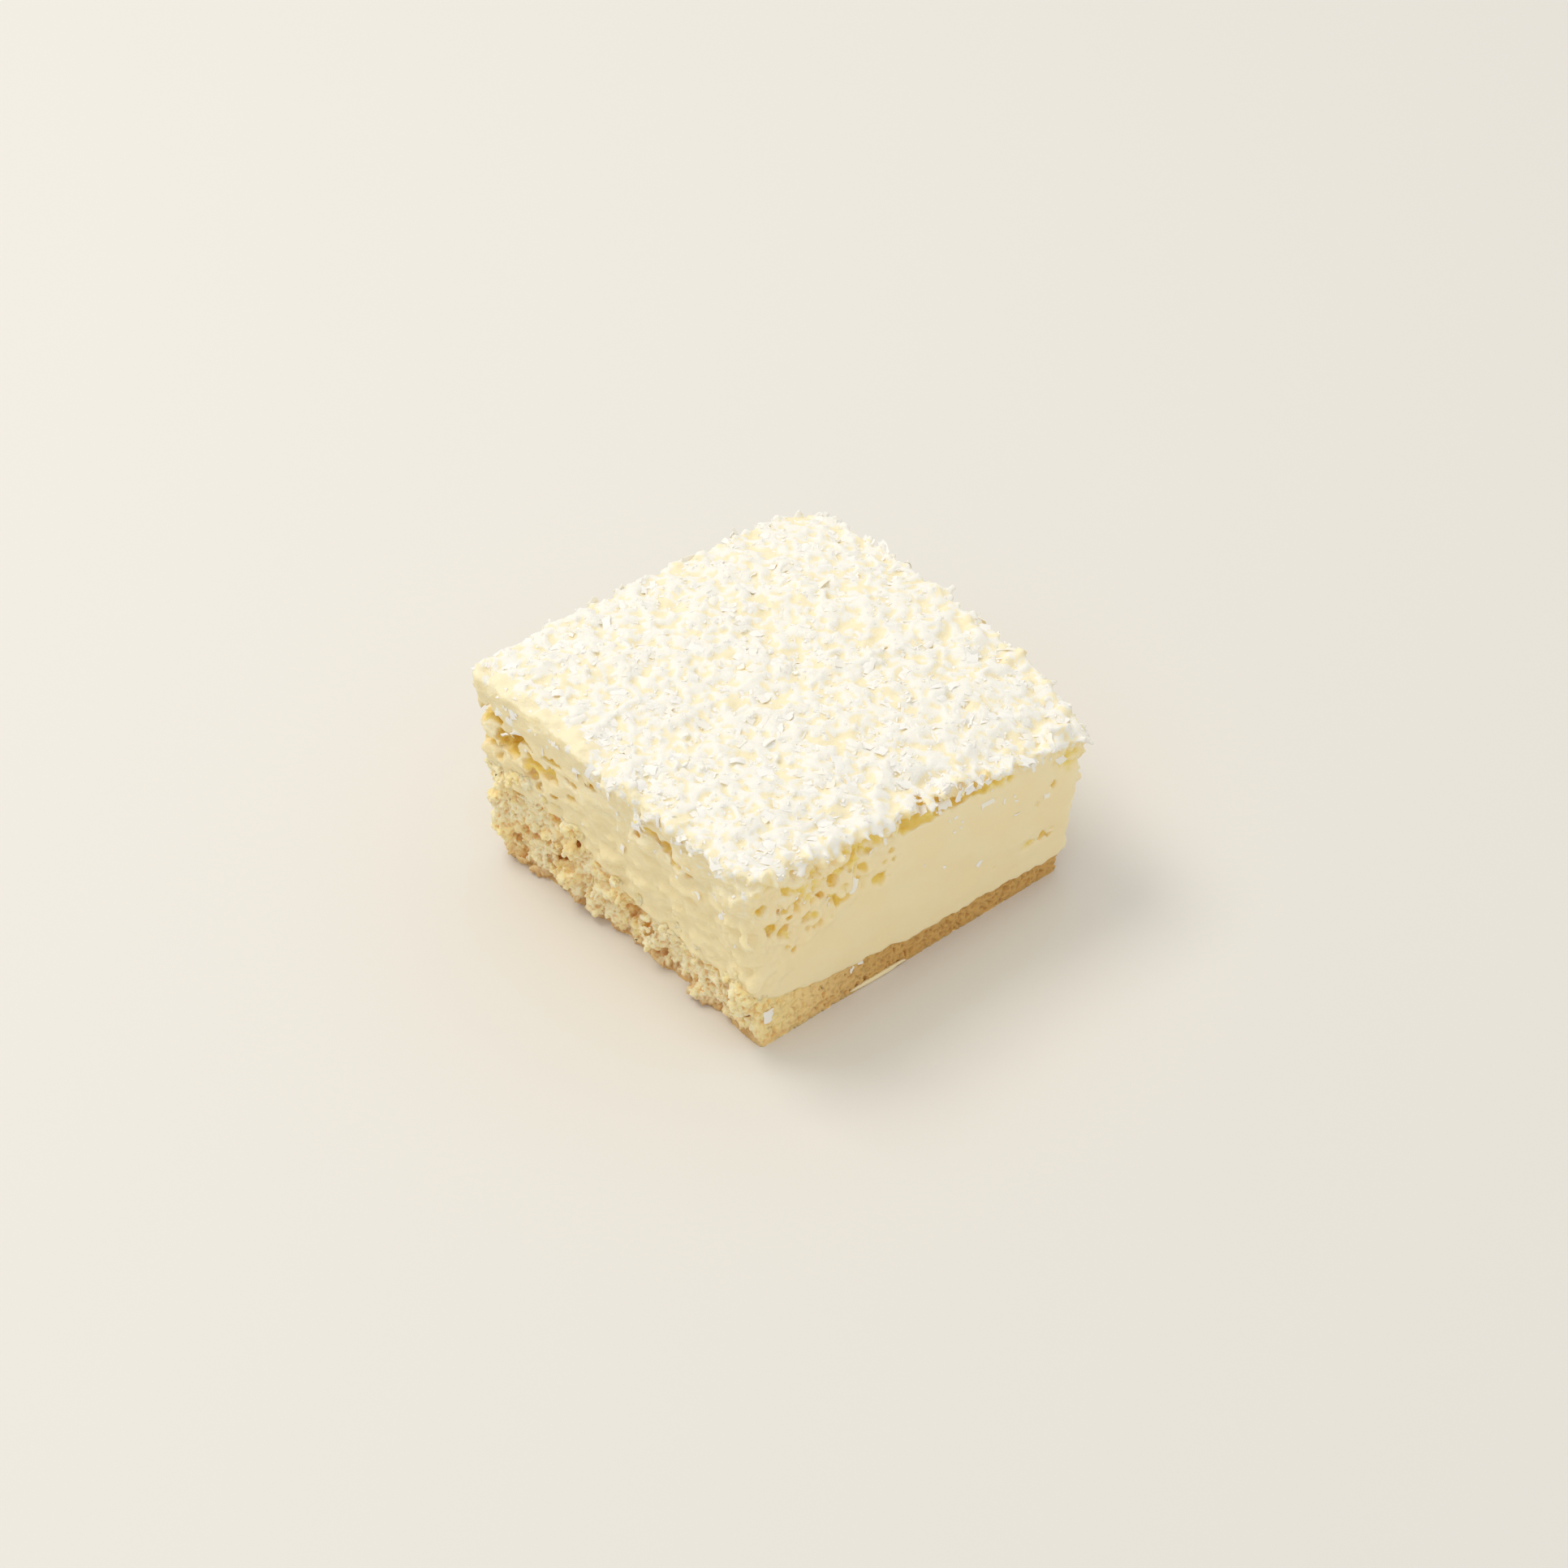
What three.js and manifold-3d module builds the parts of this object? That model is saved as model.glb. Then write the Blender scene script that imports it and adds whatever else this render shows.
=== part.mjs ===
// A square portion of tiramisu: a soaked sponge base under a deep layer of mascarpone cream
// that is covered with grated white flakes. Millimetres, +Z up. Corners are given in the order
// front (-X -Y), right (+X -Y), back (+X +Y), left (-X +Y).
import * as THREE from 'three';
import { ImprovedNoise } from 'three/addons/math/ImprovedNoise.js';
import { mergeVertices } from 'three/addons/utils/BufferGeometryUtils.js';
import Module from 'manifold-3d';

// Plan corners at the foot and at the top rim, and the height of the rim at each corner
const FOOT = [[-32, -34], [34, -33], [33, 32], [-36, 31]];
const RIM = [[-33.5, -33.5], [38, -36.5], [37.5, 38.5], [-38, 36.5]];
const RIM_HEIGHT = [38.5, 31.5, 35, 38];
const CORNER_SHARPNESS = 24;

// How far the middle of a side stands out in plan, and the torn side draws in at the foot
const FAR_CUT_BULGE = 2.4;
const FAR_TORN_BULGE = 1.5;
const TORN_WAIST = 2;

// The top: crowned in the middle, bowed up along its two far edges, gently uneven
const CROWN = 1.5;
const FAR_CUT_BOW = 2.5;
const FAR_TORN_BOW = 1.2;
const RIM_DROP = 0.7;
const TOP_WAVE = { height: 0.5, length: 11 };

// The sponge's upper surface: level under most of the cream, thicker along the torn -X face
// and piled up at the left corner
const SPONGE_LEVEL = 6;
const TORN_SIDE_RISE = 7;
const TORN_SIDE_FALLOFF = 5;
const LEFT_CORNER_RISE = 10;
const LEFT_CORNER_START = 0.45;
const LEFT_CORNER_FULL = 0.72;
const LAYER_WAVE = { height: 0.5, length: 13 };
const LAYER_GAP = 0.3;

// Relief of the sides: torn crumb on -X and +Y, knife cuts on -Y and +X
const TORN_CRUMB = { height: 1.6, length: 5 };
const CUT_CRUMB = { height: 0.35, length: 5 };
const TORN_CREAM = { height: 0.6, length: 6 };
const CUT_CREAM = { height: 0.15, length: 9 };
const CRUMB_BLEND = 1;

// Grid of each layer
const PLAN_STEPS = 18;
const CREAM_STEPS = 7;
const SPONGE_STEPS = 5;

// Hollows in the shown sides, by distance from the front corner and height above the foot
const CUT_SIDE_HOLLOWS = [
  { along: 3.5, up: 26, wide: 2.6, high: 5, deep: 2.2 },
  { along: 9, up: 28.5, wide: 2, high: 2.8, deep: 1.6 },
  { along: 10.5, up: 24.5, wide: 1.8, high: 2.6, deep: 1.6 },
  { along: 16, up: 31, wide: 2.6, high: 2.2, deep: 1.6 },
  { along: 24.8, up: 23.5, wide: 3.6, high: 2, deep: 1.6 },
  { along: 22.5, up: 33, wide: 4, high: 2.6, deep: 2 },
  { along: 30.5, up: 32, wide: 6.5, high: 3.6, deep: 2.4 },
  { along: 40, up: 31.8, wide: 7, high: 2.6, deep: 2.2 },
  { along: 59.5, up: 12.5, wide: 2, high: 3.4, deep: 1.8 },
];
const TORN_SIDE_HOLLOWS = [
  { along: 13.8, up: 30, wide: 2, high: 2.4, deep: 1.8 },
  { along: 18.8, up: 32.2, wide: 8, high: 3.2, deep: 2.8 },
  { along: 33.5, up: 34.8, wide: 3.4, high: 3, deep: 2.4 },
  { along: 49, up: 28.2, wide: 11, high: 3.2, deep: 3 },
  { along: 53, up: 25.6, wide: 6, high: 2.2, deep: 2.4 },
  { along: 57.5, up: 29.6, wide: 7, high: 5, deep: 4.5 },
];

// Hollows of the two other sides, drawn at random between these limits
const OTHER_HOLLOWS = {
  count: 6,
  along: [6, 58],
  up: [20, 29],
  wide: [2, 5],
  high: [2, 3.5],
  deep: [1.6, 2.6],
};
const HOLLOW_SIDES = 8;
const HOLLOW_RINGS = 5;
const HOLLOW_SINK = 0.3;

// Grated flakes: even rows over the top, and some that stick to the sides under the rim
const FLAKE = { length: [2.6, 4.6], width: [1.2, 2.2], curl: [0.1, 0.8], thickness: 0.45 };
const FLAKE_ROWS = 11;
const FLAKE_REACH = 0.95;
const FLAKE_JITTER = 0.8;
const FLAKE_TILT = [-0.4, 0.4];
const FLAKE_LIFT = 0.1;
const SIDE_FLAKES = 5;
const SIDE_FLAKE_ALONG = [4, 60];
const SIDE_FLAKE_UP = [24, 30];

const CREAM_FINISH = { color: 0xf1e4bd, roughness: 0.55, metalness: 0 };
const SPONGE_FINISH = { color: 0xd8b577, roughness: 0.85, metalness: 0 };

const WELD = 1e-4;
const SEED = 29;

const UP = new THREE.Vector3(0, 0, 1);

// The four sides as pairs of plan corners, each starting at the corner that sizes are taken from
const SIDES = {
  cut: { from: [-1, -1], to: [1, -1], out: [0, -1] },
  torn: { from: [-1, -1], to: [-1, 1], out: [-1, 0] },
  farCut: { from: [1, -1], to: [1, 1], out: [1, 0] },
  farTorn: { from: [-1, 1], to: [1, 1], out: [0, 1] },
};

const wasm = await Module();
wasm.setup();
const { lerp, seededRandom, smoothstep } = THREE.MathUtils;
const noise = new ImprovedNoise();
seededRandom(SEED);

// A random value between two limits
function between([least, most]) {
  return lerp(least, most, seededRandom());
}

// Smooth waves through space, up to the height either way
function wave({ height, length }, x, y, z) {
  return height * noise.noise(x / length, y / length, z / length);
}

// Values at the four corners, blended over the plan as u and v run from -1 to 1
function blendCorners([front, right, back, left], u, v) {
  const across = (u + 1) / 2;
  return lerp(lerp(front, right, across), lerp(left, back, across), (v + 1) / 2);
}

// A point of the plan, with the corners of the square rounded off
function planPoint(corners, u, v) {
  const reach = Math.max(Math.abs(u), Math.abs(v));
  const power = CORNER_SHARPNESS;
  const norm = (Math.abs(u) ** power + Math.abs(v) ** power) ** (1 / power);
  const inset = norm > 0 ? reach / norm : 1;
  const [x, y] = [0, 1].map((axis) => {
    return blendCorners(corners.map((corner) => corner[axis]), u * inset, v * inset);
  });
  const waist = corners === FOOT ? TORN_WAIST : 0;
  const bulge = lerp(waist, FAR_CUT_BULGE, (u + 1) / 2) * (1 - v ** 2);
  return [x + bulge, y + FAR_TORN_BULGE * ((v + 1) / 2) * (1 - u ** 2)];
}

// Height of the cream's upper surface
function topHeight(u, v) {
  const [x, y] = planPoint(RIM, u, v);
  const crown = CROWN * (1 - u ** 4) * (1 - v ** 4);
  const farCutBow = FAR_CUT_BOW * (1 - v ** 2) * ((u + 1) / 2) ** 2;
  const farTornBow = FAR_TORN_BOW * (1 - u ** 2) * ((v + 1) / 2) ** 2;
  const edge = RIM_DROP * Math.max(Math.abs(u), Math.abs(v)) ** CORNER_SHARPNESS;
  return blendCorners(RIM_HEIGHT, u, v) + crown + farCutBow + farTornBow - edge + wave(TOP_WAVE, x, y, 0);
}

// Height at which the sponge ends and the cream begins
function layerHeight(u, v) {
  const [x, y] = planPoint(FOOT, u, v);
  const toTorn = (1 - u) / 2;
  const toBack = (v + 1) / 2;
  const side = TORN_SIDE_RISE * toTorn ** TORN_SIDE_FALLOFF;
  const nearLeft = smoothstep(toBack, LEFT_CORNER_START, LEFT_CORNER_FULL) * toTorn ** 2;
  return SPONGE_LEVEL + side + LEFT_CORNER_RISE * nearLeft + wave(LAYER_WAVE, x, y, 0);
}

// How far a side stands out of its plain surface, or in where it is negative
function sideRelief(u, v, x, y, z) {
  const torn = u === -1 || v === 1;
  const creamShare = smoothstep(z - layerHeight(u, v), -CRUMB_BLEND, CRUMB_BLEND);
  const crumb = wave(torn ? TORN_CRUMB : CUT_CRUMB, x, y, z);
  const cream = wave(torn ? TORN_CREAM : CUT_CREAM, x, y, z);
  return lerp(crumb, cream, creamShare);
}

// A point of the food at the plan position u, v and the height z
function foodPoint(u, v, z) {
  const rise = z / topHeight(u, v);
  const foot = planPoint(FOOT, u, v);
  const rim = planPoint(RIM, u, v);
  const x = lerp(foot[0], rim[0], rise);
  const y = lerp(foot[1], rim[1], rise);
  const outX = Math.abs(u) === 1 ? u : 0;
  const outY = Math.abs(v) === 1 ? v : 0;
  const relief = outX || outY ? sideRelief(u, v, x, y, z) : 0;
  return new THREE.Vector3(x + outX * relief, y + outY * relief, z);
}

// One layer: a box grid carried onto the food between two surfaces
function layerGeometry(steps, lower, upper) {
  const box = new THREE.BoxGeometry(2, 2, 1, PLAN_STEPS, PLAN_STEPS, steps);
  const position = box.getAttribute('position');
  for (let i = 0; i < position.count; i += 1) {
    const u = position.getX(i);
    const v = position.getY(i);
    const z = lerp(lower(u, v), upper(u, v), position.getZ(i) + 0.5);
    position.setXYZ(i, ...foodPoint(u, v, z));
  }
  return box;
}

// The same grid with its faces turned round
function turnedRound(geometry) {
  const index = geometry.getIndex();
  for (let i = 0; i < index.count; i += 3) {
    const first = index.getX(i);
    index.setX(i, index.getX(i + 1));
    index.setX(i + 1, first);
  }
  return geometry;
}

// A closed geometry as a solid that can be joined and cut
function solidOf(geometry) {
  const bare = geometry.clone();
  bare.deleteAttribute('normal');
  bare.deleteAttribute('uv');
  const merged = mergeVertices(bare, WELD);
  const vertProperties = new Float32Array(merged.getAttribute('position').array);
  const triVerts = new Uint32Array(merged.getIndex().array);
  return new wasm.Manifold(new wasm.Mesh({ numProp: 3, vertProperties, triVerts }));
}

// The largest body of a solid, without scraps that hang loose and without sealed hollows
function mainBody(solid) {
  return solid.decompose().reduce((best, body) => (body.volume() > best.volume() ? body : best));
}

// A solid as a geometry that can be shown
function geometryOf(solid) {
  const { vertProperties, triVerts } = solid.getMesh();
  const geometry = new THREE.BufferGeometry();
  geometry.setAttribute('position', new THREE.BufferAttribute(vertProperties, 3));
  geometry.setIndex(new THREE.BufferAttribute(triVerts, 1));
  geometry.computeVertexNormals();
  return geometry;
}

// The place of something on a side: its axes run along the side, up it and out of it
function sidePlace({ from, to, out }, along, up) {
  const [start, end] = [from, to].map((corner) => new THREE.Vector2(...planPoint(FOOT, ...corner)));
  const share = along / start.distanceTo(end);
  const point = foodPoint(lerp(from[0], to[0], share), lerp(from[1], to[1], share), up);
  const outward = new THREE.Vector3(...out, 0);
  const sideways = UP.clone().cross(outward);
  return new THREE.Matrix4().makeBasis(sideways, UP, outward).setPosition(point);
}

// An egg-shaped hollow that opens through a side
function hollow(side, { along, up, wide, high, deep }) {
  const egg = new THREE.SphereGeometry(0.5, HOLLOW_SIDES, HOLLOW_RINGS);
  egg.scale(wide, high, 2 * deep);
  egg.translate(0, 0, -HOLLOW_SINK * deep);
  return solidOf(egg.applyMatrix4(sidePlace(side, along, up)));
}

// A hollow at a random place of a side
function randomHollow(side) {
  const { along, up, wide, high, deep } = OTHER_HOLLOWS;
  const sizes = { wide: between(wide), high: between(high), deep: between(deep) };
  return hollow(side, { along: between(along), up: between(up), ...sizes });
}

// A grated flake about the origin, curling up towards both ends
function flakeGeometry() {
  const length = between(FLAKE.length);
  const flake = new THREE.BoxGeometry(length, between(FLAKE.width), FLAKE.thickness, 2, 1, 1);
  const curl = between(FLAKE.curl);
  const position = flake.getAttribute('position');
  for (let i = 0; i < position.count; i += 1) {
    const reach = (2 * position.getX(i)) / length;
    position.setZ(i, position.getZ(i) + curl * reach ** 2);
  }
  return flake;
}

// A flake turned at random and laid on the top at the plan position u, v
function topFlake(u, v) {
  const turn = new THREE.Euler(between(FLAKE_TILT), between(FLAKE_TILT), between([0, Math.PI]));
  const place = new THREE.Matrix4().makeRotationFromEuler(turn);
  place.setPosition(foodPoint(u, v, topHeight(u, v) + FLAKE_LIFT));
  return solidOf(flakeGeometry().applyMatrix4(place));
}

// A flake turned at random and stuck flat on a side
function sideFlake(side) {
  const turn = new THREE.Matrix4().makeRotationZ(between([0, Math.PI]));
  const place = sidePlace(side, between(SIDE_FLAKE_ALONG), between(SIDE_FLAKE_UP)).multiply(turn);
  return solidOf(flakeGeometry().applyMatrix4(place));
}

// All flakes: one in each cell of a square grid over the top, then those on the sides
function flakes() {
  const solids = [];
  const cell = (2 * FLAKE_REACH) / FLAKE_ROWS;
  const shift = [-FLAKE_JITTER / 2, FLAKE_JITTER / 2];
  for (let row = 0; row < FLAKE_ROWS; row += 1) {
    for (let column = 0; column < FLAKE_ROWS; column += 1) {
      const u = -FLAKE_REACH + (column + 0.5 + between(shift)) * cell;
      const v = -FLAKE_REACH + (row + 0.5 + between(shift)) * cell;
      solids.push(topFlake(u, v));
    }
  }
  for (const side of Object.values(SIDES)) {
    for (let i = 0; i < SIDE_FLAKES; i += 1) {
      solids.push(sideFlake(side));
    }
  }
  return solids;
}

// All hollows of the four sides
function hollows() {
  const solids = [];
  CUT_SIDE_HOLLOWS.forEach((sizes) => solids.push(hollow(SIDES.cut, sizes)));
  TORN_SIDE_HOLLOWS.forEach((sizes) => solids.push(hollow(SIDES.torn, sizes)));
  for (const side of [SIDES.farCut, SIDES.farTorn]) {
    for (let i = 0; i < OTHER_HOLLOWS.count; i += 1) {
      solids.push(randomHollow(side));
    }
  }
  return solids;
}

// The soaked sponge, from the foot to the layer's surface
function spongeBase() {
  const geometry = layerGeometry(SPONGE_STEPS, () => 0, layerHeight);
  const mesh = new THREE.Mesh(geometry, new THREE.MeshStandardMaterial(SPONGE_FINISH));
  mesh.name = 'sponge_base';
  return mesh;
}

// The cream over the sponge, with its hollows cut out and its flakes fused on. Its grid is made
// upside down and turned round, so that its underside is split as the sponge's upper face is.
function mascarponeCream() {
  const underside = (u, v) => layerHeight(u, v) + LAYER_GAP;
  const grid = turnedRound(layerGeometry(CREAM_STEPS, topHeight, underside));
  const body = hollows().reduce((solid, egg) => solid.subtract(egg), solidOf(grid));
  const covered = flakes().reduce((solid, flake) => solid.add(flake), body);
  const geometry = geometryOf(mainBody(covered));
  const mesh = new THREE.Mesh(geometry, new THREE.MeshStandardMaterial(CREAM_FINISH));
  mesh.name = 'mascarpone_cream';
  return mesh;
}

const group = new THREE.Group();
group.add(spongeBase(), mascarponeCream());

// The origin is under the middle of the whole, on the surface that it stands on
const middle = new THREE.Box3().setFromObject(group).getCenter(new THREE.Vector3());
group.position.set(-middle.x, -middle.y, 0);

export default group;
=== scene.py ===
"""Dresses a portion of tiramisu: a soaked sponge, mascarpone cream and grated white flakes.

The portion stands on the floor with +Z up. Its smooth cut side faces -Y and its torn side -X.
Sizes are given in millimetres, and the meshes are in metres.
"""

import logging
import math
from dataclasses import dataclass, field
from enum import Enum
from typing import Any, Callable, Optional

import bpy
import numpy as np
from mathutils import Matrix, Vector
from mathutils.bvhtree import BVHTree


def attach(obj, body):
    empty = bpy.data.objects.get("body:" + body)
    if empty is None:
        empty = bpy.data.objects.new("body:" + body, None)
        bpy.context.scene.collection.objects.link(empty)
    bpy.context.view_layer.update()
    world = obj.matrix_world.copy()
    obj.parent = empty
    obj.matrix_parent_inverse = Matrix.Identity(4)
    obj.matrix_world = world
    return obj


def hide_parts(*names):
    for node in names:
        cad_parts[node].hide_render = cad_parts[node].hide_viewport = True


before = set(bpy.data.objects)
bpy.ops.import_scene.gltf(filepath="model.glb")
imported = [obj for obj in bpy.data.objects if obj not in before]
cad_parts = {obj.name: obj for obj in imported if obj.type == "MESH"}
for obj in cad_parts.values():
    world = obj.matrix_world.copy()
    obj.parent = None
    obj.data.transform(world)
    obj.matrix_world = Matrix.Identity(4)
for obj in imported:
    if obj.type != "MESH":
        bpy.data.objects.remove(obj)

MM = 0.001
LOG = logging.getLogger("tiramisu")

Piece = bpy.types.Object
Material = bpy.types.Material
Socket = bpy.types.NodeSocket
Random = np.random.Generator
Limits = tuple[float, float]
Triple = tuple[float, float, float]
Colour = tuple[float, float, float, float]
Corners = tuple[tuple[float, float], ...]
Surface = Callable[[Any, Any], Any]


def smooth_step(value: Any, low: float, high: float) -> Any:
    """Rises smoothly from 0 to 1 as a value passes from low to high."""
    share = np.clip((np.asarray(value, float) - low) / (high - low), 0, 1)
    return share * share * (3 - 2 * share)


class Side(Enum):
    """The sides of the portion: first and last plan corner, and the way out."""

    CUT = ((-1, -1), (1, -1), (0, -1))
    TORN = ((-1, -1), (-1, 1), (-1, 0))
    FAR_CUT = ((1, -1), (1, 1), (1, 0))
    FAR_TORN = ((-1, 1), (1, 1), (0, 1))

    @property
    def out(self) -> Vector:
        """The direction out of the side."""
        return Vector((*self.value[2], 0))

    @property
    def along(self) -> Vector:
        """The direction along the side that makes a right-handed frame with up and out."""
        return Vector((0, 0, 1)).cross(self.out)

    def place(self, share: float) -> np.ndarray:
        """Gives u and v at a share of the way from the first corner to the last."""
        first, last = np.array(self.value[:2])
        return first + (last - first) * share

    @classmethod
    def drawn(cls, rng: Random) -> "Side":
        """Draws one of the sides."""
        return list(cls)[rng.integers(len(cls))]


@dataclass(frozen=True)
class PortionForm:
    """The plain form of the portion, the one that its solids have.

    Corners are in the order front, right, back, left, and u and v run over the plan
    from -1 to 1. Sizes are in millimetres.
    """

    foot: Corners = ((-32, -34), (34, -33), (33, 32), (-36, 31))
    rim: Corners = ((-33.5, -33.5), (38, -36.5), (37.5, 38.5), (-38, 36.5))
    rim_height: tuple[float, ...] = (38.5, 31.5, 35, 38)
    far_cut_bulge: float = 2.4
    far_torn_bulge: float = 1.5
    torn_waist: float = 2
    crown: float = 1.5
    far_cut_bow: float = 2.5
    far_torn_bow: float = 1.2
    sponge_level: float = 6
    torn_side_rise: float = 7
    torn_side_falloff: float = 5
    left_corner_rise: float = 10
    left_corner_span: Limits = (0.45, 0.72)
    origin_shift: Limits = (-1.26, -1.46)

    @staticmethod
    def blend(values: Any, u: Any, v: Any) -> Any:
        """Blends values at the four corners over the plan."""
        front, right, back, left = values
        near = front + (right - front) * (u + 1) / 2
        far = left + (back - left) * (u + 1) / 2
        return near + (far - near) * (v + 1) / 2

    def plan(self, corners: Corners, u: Any, v: Any) -> tuple[Any, Any]:
        """Gives the plan point at u, v between four corners.

        Args:
            corners: The corners at the foot or at the rim.
            u: Place across the portion.
            v: Place from front to back.

        Returns:
            The x and y of the point in millimetres.
        """
        xs, ys = zip(*corners)
        waist = self.torn_waist if corners is self.foot else 0
        bulge = (waist + (self.far_cut_bulge - waist) * (u + 1) / 2) * (1 - v**2)
        back_bulge = self.far_torn_bulge * (v + 1) / 2 * (1 - u**2)
        return self.blend(xs, u, v) + bulge, self.blend(ys, u, v) + back_bulge

    def top(self, u: Any, v: Any) -> Any:
        """Gives the height of the cream's upper surface."""
        crown = self.crown * (1 - u**4) * (1 - v**4)
        far_cut = self.far_cut_bow * (1 - v**2) * ((u + 1) / 2) ** 2
        far_torn = self.far_torn_bow * (1 - u**2) * ((v + 1) / 2) ** 2
        return self.blend(self.rim_height, u, v) + crown + far_cut + far_torn

    def layer(self, u: Any, v: Any) -> Any:
        """Gives the height at which the sponge ends and the cream begins."""
        to_torn = (1 - u) / 2
        side = self.torn_side_rise * to_torn**self.torn_side_falloff
        near_left = smooth_step((v + 1) / 2, *self.left_corner_span) * to_torn**2
        return self.sponge_level + side + self.left_corner_rise * near_left

    def point(self, u: float, v: float, height: float) -> Vector:
        """Gives the point in metres at a plan place and a height in millimetres."""
        rise = height / self.top(u, v)
        foot = np.array(self.plan(self.foot, u, v))
        rim = np.array(self.plan(self.rim, u, v))
        x, y = foot + (rim - foot) * rise + np.array(self.origin_shift)
        return Vector((x, y, height)) * MM

    def place_on(self, side: Side, along: float, up: float) -> Matrix:
        """Gives the frame of something on a side: its axes run along it, up it and out of it.

        Args:
            side: The side.
            along: Distance from the side's first corner in millimetres.
            up: Height above the foot in millimetres.

        Returns:
            A matrix whose third axis points out of the side, in metres.
        """
        start, end = (np.array(self.plan(self.foot, *corner)) for corner in side.value[:2])
        u, v = side.place(along / np.linalg.norm(end - start))
        turn = Matrix((side.along, Vector((0, 0, 1)), side.out)).transposed().to_4x4()
        return Matrix.Translation(self.point(u, v, up)) @ turn


def choose(piece: Piece, *others: Piece) -> None:
    """Selects only the given objects, the first one active."""
    bpy.ops.object.select_all(action="DESELECT")
    for item in (piece, *others):
        item.select_set(True)
    bpy.context.view_layer.objects.active = piece


def apply_modifier(piece: Piece, kind: str, **settings: Any) -> None:
    """Adds a modifier to a piece, sets it and applies it.

    Args:
        piece: The piece to change.
        kind: Blender's name of the modifier's type.
        **settings: The modifier's settings by name.
    """
    choose(piece)
    modifier = piece.modifiers.new(kind.title(), kind)
    for name, value in settings.items():
        setattr(modifier, name, value)
    bpy.ops.object.modifier_apply(modifier=modifier.name)


def remesh(piece: Piece, voxel: float) -> None:
    """Melts a piece into one closed mesh with voxels of a size in millimetres."""
    apply_modifier(piece, "REMESH", mode="VOXEL", voxel_size=voxel * MM)


def surface_of(piece: Piece) -> BVHTree:
    """Gives the surface of a piece for measuring."""
    return BVHTree.FromObject(piece, bpy.context.evaluated_depsgraph_get())


def rows_of(items: Any, name: str) -> np.ndarray:
    """Reads a vector of each item of a mesh, one row each."""
    flat = np.empty(3 * len(items), np.float32)
    items.foreach_get(name, flat)
    return flat.reshape(-1, 3)


def points_of(piece: Piece) -> np.ndarray:
    """Reads a mesh's points in metres."""
    return rows_of(piece.data.vertices, "co")


def normals_of(piece: Piece) -> np.ndarray:
    """Reads a mesh's point normals."""
    return rows_of(piece.data.vertex_normals, "vector")


def paint(piece: Piece, name: str, values: np.ndarray) -> None:
    """Stores a number for each point of a mesh as an attribute."""
    attribute = piece.data.attributes.new(name, "FLOAT", "POINT")
    attribute.data.foreach_set("value", np.asarray(values, np.float32))


def weigh(piece: Piece, name: str, weights: np.ndarray, levels: int = 12) -> None:
    """Stores weights from 0 to 1 as a vertex group, rounded to a few levels."""
    group = piece.vertex_groups.new(name=name)
    steps = np.rint(np.clip(weights, 0, 1) * levels).astype(int)
    for level in range(1, levels + 1):
        group.add(np.flatnonzero(steps == level).tolist(), level / levels, "REPLACE")


def make_mesh(name: str, points: np.ndarray, faces: np.ndarray) -> Piece:
    """Makes an object from arrays of points in metres and of faces."""
    mesh = bpy.data.meshes.new(name)
    mesh.from_pydata(points.tolist(), [], faces.tolist())
    piece = bpy.data.objects.new(name, mesh)
    bpy.context.scene.collection.objects.link(piece)
    return piece


def dress(piece: Piece, material: Material) -> None:
    """Gives a piece its only material."""
    piece.data.materials.clear()
    piece.data.materials.append(material)
    piece.data.polygons.foreach_set("material_index", np.zeros(len(piece.data.polygons), np.int32))


def uneven_ball(subdivisions: int = 2) -> tuple[np.ndarray, np.ndarray]:
    """Models a ball 1 mm wide, pulled out of round, and gives its points and faces."""
    bpy.ops.mesh.primitive_ico_sphere_add(subdivisions=subdivisions, radius=0.5 * MM)
    ball = bpy.context.object
    Relief(Noise.HARD, 0.5, 0.35).press(ball)
    points = points_of(ball).copy()
    faces = np.array([list(face.vertices) for face in ball.data.polygons])
    bpy.data.objects.remove(ball)
    return points, faces


def copies(name: str, points: list[np.ndarray], faces: np.ndarray) -> Piece:
    """Joins changed copies of one mesh, all with the same faces, into one object."""
    offsets = np.arange(len(points))[:, None, None] * len(points[0])
    all_faces = (faces[None] + offsets).reshape(-1, faces.shape[1])
    return make_mesh(name, np.concatenate(points), all_faces)


def placed(shape: np.ndarray, place: Matrix) -> np.ndarray:
    """Carries points to a place that a matrix gives."""
    matrix = np.array(place)
    return shape @ matrix[:3, :3].T + matrix[:3, 3]


def drawn_turn(rng: Random) -> np.ndarray:
    """Draws a turn in space."""
    return np.linalg.qr(rng.normal(size=(3, 3)))[0]


def mostly_small(sizes: Limits, rng: Random) -> float:
    """Draws a size between two limits, more often a small one."""
    return sizes[0] + (sizes[1] - sizes[0]) * rng.random() ** 2


def carve(piece: Piece, tool: Piece) -> None:
    """Cuts a tool out of a piece and removes the tool."""
    apply_modifier(piece, "BOOLEAN", operation="DIFFERENCE", object=tool, solver="MANIFOLD")
    bpy.data.objects.remove(tool)


def on_surface(surface: BVHTree, point: Vector, side: Side, reach: float = 6) -> Vector:
    """Moves a point in or out of a side onto a surface, if that is within reach in millimetres."""
    start = point + side.out * reach * MM
    hit, _, _, _ = surface.ray_cast(start, -side.out, 1.5 * reach * MM)
    return point if hit is None else hit


def limit_triangles(piece: Piece, most: int) -> None:
    """Thins a mesh out to a number of triangles."""
    count = sum(len(face.vertices) - 2 for face in piece.data.polygons)
    apply_modifier(piece, "DECIMATE", ratio=min(1, most / count))


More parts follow.
